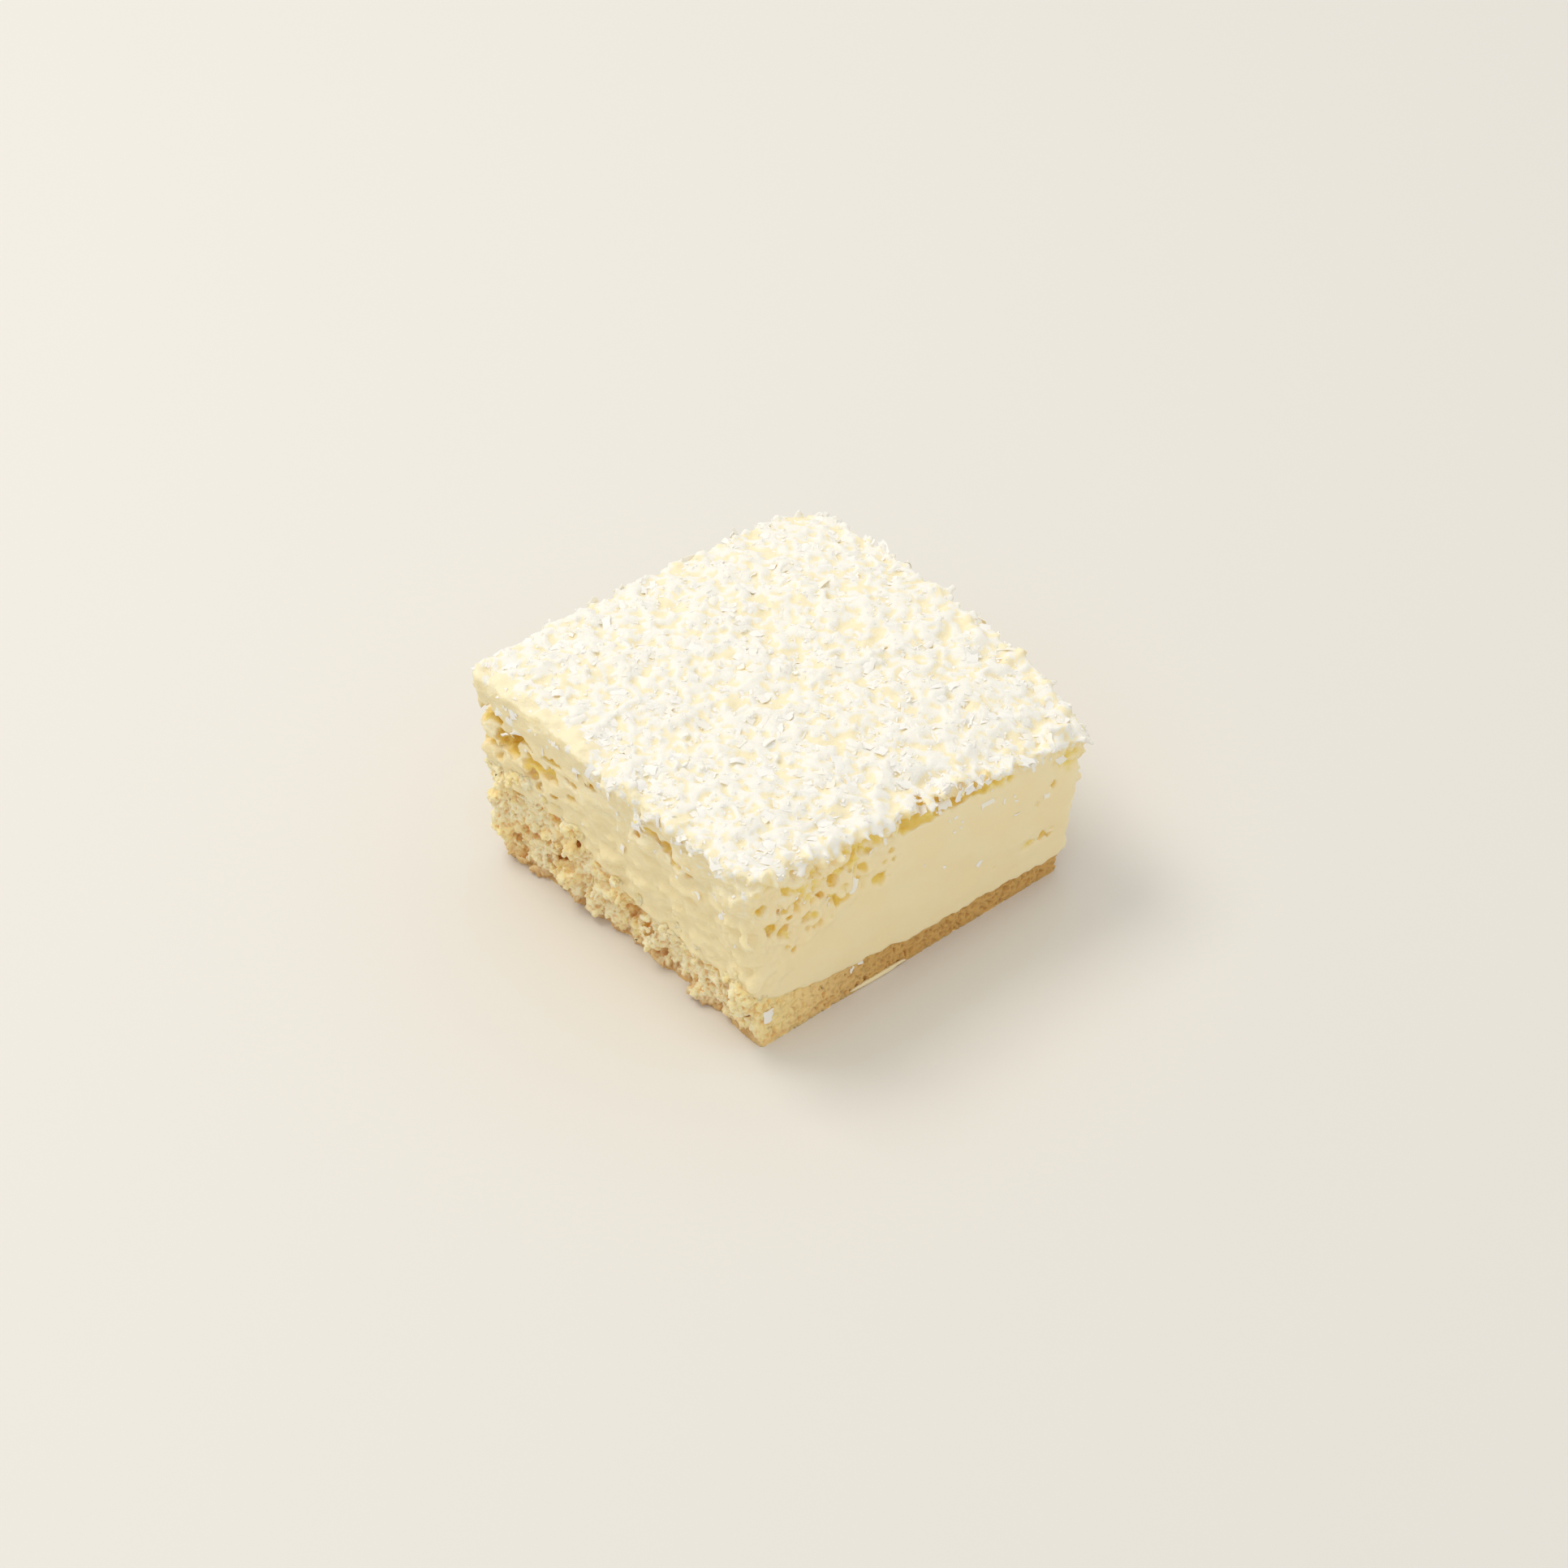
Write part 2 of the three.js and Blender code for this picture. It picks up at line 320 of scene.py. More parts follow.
def sunk_share(piece: Piece, full: float, rounds: int = 4) -> np.ndarray:
    """Measures how far each point of a mesh lies in a dent.

    Args:
        piece: The mesh.
        full: Depth under the surroundings in millimetres from which the measure is 1.
        rounds: How many edges away the surroundings reach.

    Returns:
        A number from 0 to 1 for each point.
    """
    points = points_of(piece)
    edges = np.empty(2 * len(piece.data.edges), int)
    piece.data.edges.foreach_get("vertices", edges)
    first, last = edges.reshape(-1, 2).T
    number = np.bincount(edges, minlength=len(points))[:, None]
    around = points.astype(float)
    for _ in range(rounds):
        total = np.zeros_like(around)
        for axis in range(3):
            total[:, axis] = np.bincount(first, around[last, axis], len(points))
            total[:, axis] += np.bincount(last, around[first, axis], len(points))
        around = total / np.maximum(number, 1)
    sunk = np.einsum("ij,ij->i", around - points, normals_of(piece))
    return smooth_step(sunk / MM, -0.02, full)


def smooth_shading(piece: Piece, angle: float = 40) -> None:
    """Shades a piece smooth, except over edges sharper than an angle in degrees."""
    choose(piece)
    bpy.ops.object.shade_smooth_by_angle(angle=math.radians(angle))


class Noise(Enum):
    """Kinds of noise that a relief can have."""

    SOFT = "SOFT_NOISE"
    HARD = "HARD_NOISE"


@dataclass(frozen=True)
class Relief:
    """A noise that raises and sinks a surface along its normals.

    Grain and height are in millimetres, and stretch draws the noise out along X, Y and Z.
    Where the noise has its middle value, the surface stays in place. A start above 0 clips
    the noise there and sharpens it by the contrast, so that only its peaks are left. The
    way can also be an axis.
    """

    noise: Noise
    grain: float
    height: float
    stretch: Triple = (1, 1, 1)
    octaves: int = 2
    middle: float = 0.5
    start: float = 0
    way: str = "NORMAL"
    contrast: float = 3

    def press(self, piece: Piece, group: str = "") -> None:
        """Presses the relief into a piece, where a vertex group lets it."""
        texture = bpy.data.textures.new("relief", "CLOUDS")
        texture.noise_type = self.noise.value
        texture.noise_scale = self.grain * MM
        texture.noise_depth = self.octaves
        if self.start > 0:
            texture.use_clamp = True
            texture.contrast = self.contrast
            texture.intensity = 0.5 + self.contrast * (0.5 - self.start)
        bpy.ops.object.empty_add()
        guide = bpy.context.object
        guide.scale = self.stretch
        bpy.context.view_layer.update()
        apply_modifier(
            piece,
            "DISPLACE",
            texture=texture,
            texture_coords="OBJECT",
            texture_coords_object=guide,
            strength=self.height * MM,
            mid_level=self.middle,
            direction=self.way,
            vertex_group=group,
        )
        bpy.data.objects.remove(guide)
        bpy.data.textures.remove(texture)


@dataclass(frozen=True)
class BlockMaker:
    """Models a block of food: a cube with rounded uprights, carried by a cage onto the form."""

    form: PortionForm
    size: Triple = (70, 70, 28)
    upright_round: float = 2.2
    round_steps: int = 4
    cage_steps: int = 9
    voxel: float = 0.45

    def make(self, name: str, lower: Surface, upper: Surface) -> Piece:
        """Models the block between two surfaces.

        Args:
            name: The new object's name.
            lower: Height of the underside over the plan in millimetres.
            upper: Height of the upper side over the plan in millimetres.

        Returns:
            The block, a fine closed mesh.
        """
        bpy.ops.mesh.primitive_cube_add(size=1)
        block = bpy.context.object
        block.name = name
        bpy.ops.object.mode_set(mode="EDIT")
        bpy.ops.transform.resize(value=[length * MM for length in self.size])
        bpy.ops.object.mode_set(mode="OBJECT")
        self.round_uprights(block)
        remesh(block, self.voxel)
        cage = self.cage(lower, upper)
        apply_modifier(block, "LATTICE", object=cage)
        bpy.data.objects.remove(cage)
        return block

    def round_uprights(self, block: Piece) -> None:
        """Bevels the four upright edges of the cube."""
        choose(block)
        points = points_of(block)
        bpy.ops.object.mode_set(mode="EDIT")
        bpy.ops.mesh.select_all(action="DESELECT")
        bpy.ops.mesh.select_mode(type="EDGE")
        bpy.ops.object.mode_set(mode="OBJECT")
        for edge in block.data.edges:
            first, last = points[list(edge.vertices)]
            edge.select = bool(abs(first[2] - last[2]) > MM)
        bpy.ops.object.mode_set(mode="EDIT")
        bpy.ops.mesh.bevel(offset=self.upright_round * MM, segments=self.round_steps)
        bpy.ops.object.mode_set(mode="OBJECT")

    def cage(self, lower: Surface, upper: Surface) -> Piece:
        """Makes the cage whose points lie on the two surfaces."""
        bpy.ops.object.add(type="LATTICE")
        cage = bpy.context.object
        cage.scale = [length * MM for length in self.size]
        lattice = cage.data
        lattice.points_u = lattice.points_v = self.cage_steps
        lattice.interpolation_type_u = lattice.interpolation_type_v = "KEY_CATMULL_ROM"
        steps = np.linspace(-1, 1, self.cage_steps)
        places = [(u, v, surface) for surface in (lower, upper) for v in steps for u in steps]
        for knot, (u, v, surface) in zip(lattice.points, places):
            target = self.form.point(u, v, float(surface(u, v)))
            knot.co_deform = [at / (length * MM) for at, length in zip(target, self.size)]
        bpy.context.view_layer.update()
        return cage


@dataclass(frozen=True)
class Hollow:
    """An air pocket in a side, by its place on the side and its size in millimetres."""

    along: float
    up: float
    wide: float
    high: float
    deep: float

    @classmethod
    def rows(cls, *rows: tuple[float, ...]) -> tuple["Hollow", ...]:
        """Makes air pockets from rows of their numbers."""
        return tuple(cls(*row) for row in rows)


PlacedHollow = tuple[Side, Hollow]


@dataclass(frozen=True)
class HollowZone:
    """A part of a side in which small air pockets are drawn at random."""

    side: Side
    count: int
    along: Limits
    up: Limits
    size: Limits
    flatness: Limits = (0.5, 1.1)
    depth: Limits = (0.5, 0.9)

    def draw(self, rng: Random) -> list[PlacedHollow]:
        """Draws the zone's air pockets, most of them small."""
        hollows = []
        for _ in range(self.count):
            size = mostly_small(self.size, rng)
            high = size * rng.uniform(*self.flatness)
            place = rng.uniform(*self.along), rng.uniform(*self.up)
            deep = size * rng.uniform(*self.depth)
            hollows.append((self.side, Hollow(*place, size, high, deep)))
        return hollows


def pocket_tool(
    form: PortionForm,
    skin: BVHTree,
    hollows: list[PlacedHollow],
    edge: Relief,
    sunk: float = 0.3,
    voxel: float = 0.22,
) -> Piece:
    """Models air pockets as one tool: balls drawn out, placed on a skin, joined and made uneven.

    Args:
        form: The form whose sides the pockets lie on.
        skin: The surface through which they open.
        hollows: The pockets with their sides.
        edge: The relief that makes them uneven.
        sunk: How far their middles lie under the skin, as a share of their depth.
        voxel: Fineness of the tool in millimetres.

    Returns:
        The tool.
    """
    shape, faces = uneven_ball(3)
    balls = []
    for side, hollow in hollows:
        spot = form.place_on(side, hollow.along, hollow.up)
        spot.translation = on_surface(skin, spot.translation, side)
        stretch = Matrix.Diagonal((hollow.wide, hollow.high, 2 * hollow.deep, 1))
        sink = Matrix.Translation((0, 0, -sunk * hollow.deep * MM))
        balls.append(placed(shape, spot @ sink @ stretch))
    tool = copies("pockets", balls, faces)
    edge.press(tool)
    remesh(tool, voxel)
    return tool


class Value:
    """A number in a material: Python's operators on it add Math nodes."""

    def __init__(self, shader: "Shader", socket: Socket) -> None:
        """Wraps an output socket of a shader's node."""
        self.shader = shader
        self.socket = socket

    def __add__(self, other: Any) -> "Value":
        """Adds."""
        return self.shader.maths("ADD", self, other)

    __radd__ = __add__

    def __mul__(self, other: Any) -> "Value":
        """Multiplies."""
        return self.shader.maths("MULTIPLY", self, other)

    __rmul__ = __mul__

    def __sub__(self, other: Any) -> "Value":
        """Subtracts."""
        return self.shader.maths("SUBTRACT", self, other)

    def __rsub__(self, other: Any) -> "Value":
        """Subtracts this from a number."""
        return self.shader.maths("SUBTRACT", other, self)

    def between(self, low: float, high: float) -> "Value":
        """Rises smoothly from 0 to 1 as this passes from low to high."""
        node = self.shader.add(
            "ShaderNodeMapRange",
            {"interpolation_type": "SMOOTHSTEP"},
            {"Value": self, "From Min": low, "From Max": high},
        )
        return Value(self.shader, node.outputs["Result"])


class Shader:
    """A node material under construction."""

    def __init__(self, name: str) -> None:
        """Starts a material with one Principled surface."""
        self.material = bpy.data.materials.new(name)
        self.material.use_nodes = True
        self.tree = self.material.node_tree
        self.surface = self.tree.nodes["Principled BSDF"]

    def add(self, kind: str, settings: dict[str, Any], sockets: dict[Any, Any]) -> bpy.types.Node:
        """Adds a node.

        Args:
            kind: The node's type.
            settings: The node's own settings, set first.
            sockets: Values or links of its input sockets, by name or number.

        Returns:
            The new node.
        """
        node = self.tree.nodes.new(kind)
        for name, value in settings.items():
            setattr(node, name, value)
        for key, value in sockets.items():
            self.feed(node.inputs[key], value)
        return node

    def feed(self, target: Socket, value: Any) -> None:
        """Links a socket or sets it to a constant."""
        source = value.socket if isinstance(value, Value) else value
        if isinstance(source, Socket):
            self.tree.links.new(source, target)
        else:
            target.default_value = source

    def maths(self, operation: str, *inputs: Any) -> Value:
        """Adds a Math node and gives its result."""
        node = self.add("ShaderNodeMath", {"operation": operation}, dict(enumerate(inputs)))
        return Value(self, node.outputs["Value"])

    def attribute(self, name: str) -> Value:
        """Reads a number that was painted on the mesh."""
        node = self.add("ShaderNodeAttribute", {"attribute_name": name}, {})
        return Value(self, node.outputs["Fac"])

    def place(self, stretch: Triple = (1, 1, 1)) -> Socket:
        """Gives object coordinates in millimetres, with a pattern drawn out along the axes."""
        coordinates = self.add("ShaderNodeTexCoord", {}, {})
        scale = [1 / (MM * length) for length in stretch]
        sockets = {"Vector": coordinates.outputs["Object"], "Scale": scale}
        return self.add("ShaderNodeMapping", {}, sockets).outputs["Vector"]

    def height(self) -> Value:
        """Gives the height above the floor in millimetres."""
        node = self.add("ShaderNodeSeparateXYZ", {}, {"Vector": self.place()})
        return Value(self, node.outputs["Z"])

    def noise(self, grain: float, detail: float = 3, stretch: Triple = (1, 1, 1)) -> Value:
        """Gives soft noise from 0 to 1 with a grain in millimetres."""
        sockets = {"Vector": self.place(stretch), "Scale": 1 / grain, "Detail": detail}
        return Value(self, self.add("ShaderNodeTexNoise", {}, sockets).outputs["Fac"])

    def cells(self, grain: float) -> Value:
        """Gives the distance to the nearest of scattered points, in shares of the grain."""
        sockets = {"Vector": self.place(), "Scale": 1 / grain}
        return Value(self, self.add("ShaderNodeTexVoronoi", {}, sockets).outputs["Distance"])

    def mix(self, share: Any, first: Any, second: Any) -> Socket:
        """Mixes two colours."""
        node = self.add("ShaderNodeMix", {"data_type": "RGBA"}, {0: share, 6: first, 7: second})
        return node.outputs[2]

    def bump(self, height: Value, depth: float, strength: float = 1) -> Socket:
        """Turns a height from 0 to 1 into a bumped normal, with a depth in millimetres."""
        sockets = {"Height": height, "Distance": depth * MM, "Strength": strength}
        return self.add("ShaderNodeBump", {}, sockets).outputs["Normal"]

    def set(self, **sockets: Any) -> None:
        """Sets or links inputs of the surface, with _ for a space in a name."""
        for name, value in sockets.items():
            self.feed(self.surface.inputs[name.replace("_", " ")], value)

    def scatter(self, weight: float, colour: Triple, reach: float) -> None:
        """Scatters light under the surface, with a reach in millimetres."""
        self.set(Subsurface_Weight=weight, Subsurface_Radius=colour, Subsurface_Scale=reach * MM)


@dataclass(frozen=True)
class CreamFinish:
    """Whipped mascarpone: ivory, softly lit through, with painted golden shade that deepens in its
    hollows.
    """

    pale: Colour = (0.98, 0.865, 0.62, 1)
    warm: Colour = (0.975, 0.80, 0.49, 1)
    # Painted warm shade: a yellower colour for the cut sides, which face away from the key light.
    shaded_cut: Colour = (0.985, 0.805, 0.46, 1)
    torn: Colour = (0.955, 0.815, 0.50, 1)
    lemon: Colour = (0.98, 0.87, 0.615, 1)
    # hollow and deep are painted shade: golden, then darker, the deeper a point lies in an air
    # pocket.
    hollow: Colour = (0.945, 0.765, 0.24, 1)
    deep: Colour = (0.82, 0.57, 0.07, 1)
    coated: Colour = (0.94, 0.92, 0.85, 1)
    scatter: Triple = (1.0, 0.9, 0.75)
    scatter_weight: float = 0.35
    scatter_reach: float = 1.0
    bump_depth: float = 0.45

    def material(self) -> Material:
        """Makes the material."""
        shader = Shader("mascarpone_cream")
        mottle = shader.noise(7, 4).between(0.35, 0.65)
        shaded_cut = shader.attribute("shaded_cut")
        torn_side = shader.attribute("torn_side")
        coat = shader.attribute("coated")
        depth = shader.attribute("hollow")
        body = shader.mix(mottle * 0.6, self.pale, self.warm)
        for share, colour in (
            # Painted warm shade on the cut sides.
            (shaded_cut * 0.6, self.shaded_cut),
            (torn_side, self.torn),
            (coat.between(0, 0.2), self.lemon),
            (coat.between(0.2, 1), self.coated),
            # Painted golden shade in the air pockets, darker the deeper they go.
            (depth.between(0.03, 0.3), self.hollow),
            (depth.between(0.35, 1), self.deep),
        ):
            body = shader.mix(share, body, colour)
        drawn = shader.noise(0.9, 3, (7, 7, 1))
        grit = shader.noise(0.5, 4)
        relief = (drawn * 0.6 + grit * 0.4) * (1 - shaded_cut * 0.6 + torn_side * 0.8)
        shader.set(
            Base_Color=body,
            Roughness=grit * 0.2 + 0.4,
            Normal=shader.bump(relief, self.bump_depth, 0.7),
            Specular_IOR_Level=0.4,
        )
        shader.scatter(self.scatter_weight, self.scatter, self.scatter_reach)
        return shader.material


@dataclass(frozen=True)
class SpongeFinish:
    """Soaked sponge: pale golden crumb with painted shade in its dents, moist and browner where
    cut, and a brown foot that is part crust and part painted contact shade.
    """

    crumb: Colour = (1.0, 0.89, 0.61, 1)
    golden: Colour = (1.0, 0.78, 0.37, 1)
    # Painted shade: the crumb is darker in its dents, and so is the soaked crumb where cut.
    pore_shade: Colour = (0.79, 0.47, 0.12, 1)
    damp: Colour = (1.0, 0.755, 0.36, 1)
    soaked: Colour = (0.67, 0.41, 0.13, 1)
    soaked_pore_shade: Colour = (0.60, 0.35, 0.11, 1)
    # The brown foot is part baked crust and part painted contact shade where the sponge meets the
    # floor.
    skin: Colour = (0.58, 0.31, 0.08, 1)
    crust_and_shade_height: float = 3.2
    scatter: Triple = (1.0, 0.85, 0.6)
    scatter_weight: float = 0.6
    scatter_reach: float = 1.0
    bump_depth: float = 0.5

    def material(self) -> Material:
        """Makes the material."""
        shader = Shader("soaked_sponge")
        mottle = shader.noise(3.5, 4).between(0.3, 0.7)
        # A share of painted shade, high in the dents of the crumb, with a little mottle.
        pore_shade_share = shader.attribute("pore_shade") * 0.6 + mottle * 0.08
        torn = shader.mix(shader.noise(6, 4).between(0.4, 0.65) * 0.7, self.crumb, self.golden)
        torn = shader.mix(pore_shade_share, torn, self.pore_shade)
        soaked = shader.mix(pore_shade_share, self.soaked, self.soaked_pore_shade)
        cut = shader.mix(shader.attribute("soaking"), self.damp, soaked)
        cut_side = shader.attribute("cut_side")
        body = shader.mix(cut_side, torn, cut)
        # Browner towards the floor: part crust, part painted contact shade.
        foot = 1 - (shader.height() + shader.noise(3, 3) * 5 - 2.5).between(0, self.crust_and_shade_height)
        grit = shader.noise(0.7, 5) * 0.6 + shader.cells(0.8) * 0.5
        shader.set(
            Base_Color=shader.mix(foot * (0.8 - cut_side * 0.45), body, self.skin),
            Roughness=grit * 0.3 + 0.5,
            Normal=shader.bump(grit * (1 - cut_side * 0.4), self.bump_depth, 0.8),
            Specular_IOR_Level=0.35,
        )
        shader.scatter(self.scatter_weight, self.scatter, self.scatter_reach)
        return shader.material


@dataclass(frozen=True)
class FlakeFinish:
    """Grated white shavings: nearly white and waxy, a few of them painted grey as the shade of
    thin, translucent shavings.
    """

    white: Colour = (0.945, 0.937, 0.905, 1)
    ivory: Colour = (0.95, 0.915, 0.80, 1)
    # A painted grey shade for a few of the shavings.
    shaded_grey: Colour = (0.87, 0.875, 0.84, 1)

    def material(self) -> Material:
        """Makes the material."""
        shader = Shader("grated_white_flakes")
        tone = shader.attribute("tone")
        body = shader.mix(tone.between(0.2, 0.85), self.white, self.ivory)
        grit = shader.noise(0.35, 3)
        shader.set(
            # A few shavings, drawn at random, get the painted grey shade.
            Base_Color=shader.mix(tone.between(0.9, 0.95) * 0.7, body, self.shaded_grey),
            Roughness=grit * 0.2 + 0.4,
            Normal=shader.bump(grit, 0.06, 0.4),
            Specular_IOR_Level=0.35,
        )
        return shader.material


@dataclass(frozen=True)
class FloorFinish:
    """The pale floor."""

    colour: Colour = (0.79, 0.775, 0.74, 1)

    def material(self) -> Material:
        """Makes the material."""
        shader = Shader("pale_floor")
        cloud = shader.noise(60, 2)
        shader.set(Base_Color=self.colour, Roughness=cloud * 0.1 + 0.5)
        return shader.material


@dataclass(frozen=True)
class LumpScatter:
    """Small lumps of crumb that are set on a side and then grow together with it."""

    side: Side
    count: int
    size: Limits
    sink: Limits
    lowest: float
    share: Limits = (0.02, 0.98)
    stretch: Limits = (0.7, 1.3)


@dataclass
class SpongeBase:
    """The soaked sponge under the cream, torn and crumbly on two of its sides."""

    form: PortionForm
    finish: SpongeFinish = field(default_factory=SpongeFinish)
    overlap: float = 0.3
    voxel: float = 0.36
    triangles: int = 170_000
    seed: int = 5
    lumps: tuple[LumpScatter, ...] = tuple(
        LumpScatter(side, *row)
        for row in ((460, (1.0, 4.0), (0.1, 0.5), 1.6), (45, (4.0, 8.0), (0.3, 0.55), 4.5))
        for side in (Side.TORN, Side.FAR_TORN)
    )
    crevices: tuple[HollowZone, ...] = tuple(
        HollowZone(side, 130, (3, 63), (3.0, 20), (1.2, 6.0), (0.35, 0.9))
        for side in (Side.TORN, Side.FAR_TORN)
    )
    crags: Relief = Relief(Noise.HARD, 5.0, 5.6, octaves=3, middle=0.28)
    crumb: Relief = Relief(Noise.HARD, 1.2, 1.7, octaves=3, middle=0.25)
    cut_pores: Relief = Relief(Noise.HARD, 0.9, -0.9, octaves=2, middle=0, start=0.26)
    upright_round: float = 0.9
    below_floor: float = 1
    slab_size: float = 200
    cut_planes: Limits = (32, -34)
    torn_planes: Limits = (-33, 31)
    side_blend: float = 2.5
    soaking_span: Limits = (-33, -5)

    def build(self) -> Piece:
        """Models the sponge and dresses it.

        Returns:
            The finished piece.
        """
        maker = BlockMaker(self.form, upright_round=self.upright_round)
        piece = maker.make("sponge", lambda u, v: -self.below_floor, self.upper_side)
        choose(piece, self.crumb_lumps())
        bpy.ops.object.join()
        remesh(piece, self.voxel)
        self.press_reliefs(piece, self.crags)
        carve(piece, self.crevice_tool(surface_of(piece)))
        remesh(piece, self.voxel)
        self.press_reliefs(piece, self.crumb, self.cut_pores)
        carve(piece, self.floor_slab())
        limit_triangles(piece, self.triangles)
        # How far each point lies in a dent, for the painted shade there.
        paint(piece, "pore_shade", sunk_share(piece, 0.3))
        paint(piece, "cut_side", self.cut_share(piece))
        paint(piece, "soaking", self.soaking(piece))
        smooth_shading(piece, 60)
        dress(piece, self.finish.material())
        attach(piece, "root")
        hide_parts("sponge_base")
        return piece

    def upper_side(self, u: float, v: float) -> float:
        """Gives the height of the upper side, a little inside the cream."""
        return self.form.layer(u, v) + self.overlap

    def floor_slab(self) -> Piece:
        """Models the slab that cuts the foot flat."""
        bpy.ops.mesh.primitive_cube_add(size=self.slab_size * MM)
        slab = bpy.context.object
        bpy.ops.object.mode_set(mode="EDIT")
        bpy.ops.transform.translate(value=(0, 0, -self.slab_size / 2 * MM))
        bpy.ops.object.mode_set(mode="OBJECT")
        return slab

    def press_reliefs(self, piece: Piece, torn: Relief, cut: Optional[Relief] = None) -> None:
        """Presses one relief into the torn sides and another into the cut ones."""
        cut_share = self.cut_share(piece)
        sides = smooth_step(np.abs(normals_of(piece)[:, 2]), 1.0, 0.7)
        sides *= smooth_step(points_of(piece)[:, 2] / MM, -1.0, 1.5)
        piece.vertex_groups.clear()
        weigh(piece, "torn", sides * (1 - cut_share))
        weigh(piece, "cut", sides * cut_share)
        torn.press(piece, "torn")
        if cut is not None:
            cut.press(piece, "cut")

    def cut_share(self, piece: Piece) -> np.ndarray:
        """Tells the points on the cut sides from those on the torn ones, 1 from 0."""
        x, y, _ = points_of(piece).T / MM
        to_cut = np.maximum(x - self.cut_planes[0], self.cut_planes[1] - y)
        to_torn = np.maximum(self.torn_planes[0] - x, y - self.torn_planes[1])
        return smooth_step(to_cut - to_torn, -self.side_blend, self.side_blend)

    def soaking(self, piece: Piece) -> np.ndarray:
        """Tells how soaked each point of the cut sides is, least at the front corner."""
        x, y, _ = points_of(piece).T / MM
        return smooth_step(x + (y - self.cut_planes[1]) * 0.5, *self.soaking_span)

    def crevice_tool(self, skin: BVHTree) -> Piece:
        """Models the crevices between the lumps of crumb as one tool."""
        rng = np.random.default_rng(self.seed)
        hollows = [hollow for zone in self.crevices for hollow in zone.draw(rng)]
        return pocket_tool(self.form, skin, hollows, self.crags)

    def crumb_lumps(self) -> Piece:
        """Makes all lumps of crumb as one mesh."""
        rng = np.random.default_rng(self.seed)
        shape, faces = uneven_ball()
        lumps = [
            self.set_lump(shape, scatter, rng)
            for scatter in self.lumps
            for _ in range(scatter.count)
        ]
        return copies("lumps", lumps, faces)

    def set_lump(self, shape: np.ndarray, scatter: LumpScatter, rng: Random) -> np.ndarray:
        """Gives the points of one lump at a random place of a side."""
        u, v = scatter.side.place(rng.uniform(*scatter.share))
        size = mostly_small(scatter.size, rng)
        height = rng.uniform(scatter.lowest, max(scatter.lowest + 1, self.form.layer(u, v)))
        sink = rng.uniform(*scatter.sink) * size * MM
        centre = np.array(self.form.point(u, v, height)) - np.array(scatter.side.out) * sink
        turn = drawn_turn(rng)
        return (shape * rng.uniform(*scatter.stretch, 3) * size) @ turn + centre


@dataclass
class FlakeBed:
    """Heights over the top on a fine grid, on which flakes come to rest one after another.

    Reach is half the grid's width, step the distance between its points and high a height
    above the portion, all in millimetres.
    """

    surface: BVHTree
    reach: float = 44
    step: float = 0.4
    high: float = 60
    least_level: float = 0.35
    least_held: float = 0.55
    steepest: float = 0.7
    lifted: float = 0.15
    pressed_in: float = 0.14
    piled: float = 0.5

    def __post_init__(self) -> None:
        """Measures the bare top."""
        ticks = np.arange(-self.reach, self.reach, self.step) * MM
        self.heights = np.full((len(ticks), len(ticks)), np.nan)
        down = Vector((0, 0, -1))
        for row, x in enumerate(ticks):
            for column, y in enumerate(ticks):
                start = Vector((x, y, self.high * MM))
                hit, normal, _, _ = self.surface.ray_cast(start, down)
                if hit is not None and normal.z > self.least_level:
                    self.heights[row, column] = hit.z / MM

    def settle(
        self, place: np.ndarray, turn: float, size: tuple[float, float], thickness: float
    ) -> Optional[np.ndarray]:
        """Lets one flake come to rest.

        Args:
            place: Plan point of its middle in millimetres.
            turn: Its turn about the upright in radians.
            size: Its length and width in millimetres.
            thickness: What it adds to the heights under it in millimetres.

        Returns:
            A row each for its middle and for its directions along, across and up, or
            None where it would fall off.
        """
        s, t = np.meshgrid(np.linspace(-0.5, 0.5, 5), np.linspace(-0.5, 0.5, 4), indexing="ij")
        s, t = s.ravel() * size[0], t.ravel() * size[1]
        cos, sin = math.cos(turn), math.sin(turn)
        spots = np.stack([place[0] + s * cos - t * sin, place[1] + s * sin + t * cos])
        cells = np.rint((spots + self.reach) / self.step).astype(int)
        cells = np.clip(cells, 0, len(self.heights) - 1)
        under = self.heights[cells[0], cells[1]]
        held = ~np.isnan(under)
        if held.mean() < self.least_held:
            return None
        system = np.stack([np.ones(held.sum()), s[held], t[held]], 1)
        level, slope_s, slope_t = np.linalg.lstsq(system, under[held], rcond=None)[0]
        slope_s, slope_t = np.clip((slope_s, slope_t), -self.steepest, self.steepest)
        plane = level + slope_s * s + slope_t * t
        level += self.lifted * np.max(under[held] - plane[held]) - self.pressed_in
        raised = np.maximum(under, plane + self.piled * thickness)
        self.heights[cells[0][held], cells[1][held]] = raised[held]
        along = np.array((cos, sin, slope_s))
        along /= np.linalg.norm(along)
        across = np.array((-sin, cos, slope_t))
        up = np.cross(along, across)
        up /= np.linalg.norm(up)
        return np.stack([np.array((*place, level)), along, np.cross(up, along), up])


@dataclass(frozen=True)
class FlakeSizes:
    """Limits between which one kind of flake is drawn, in millimetres and degrees."""

    count: int
    length: Limits
    width: Limits
    thickness: Limits
    bend: Limits
    lean: float
    ragged: float
    rows: int
    columns: int
    on_sides: int


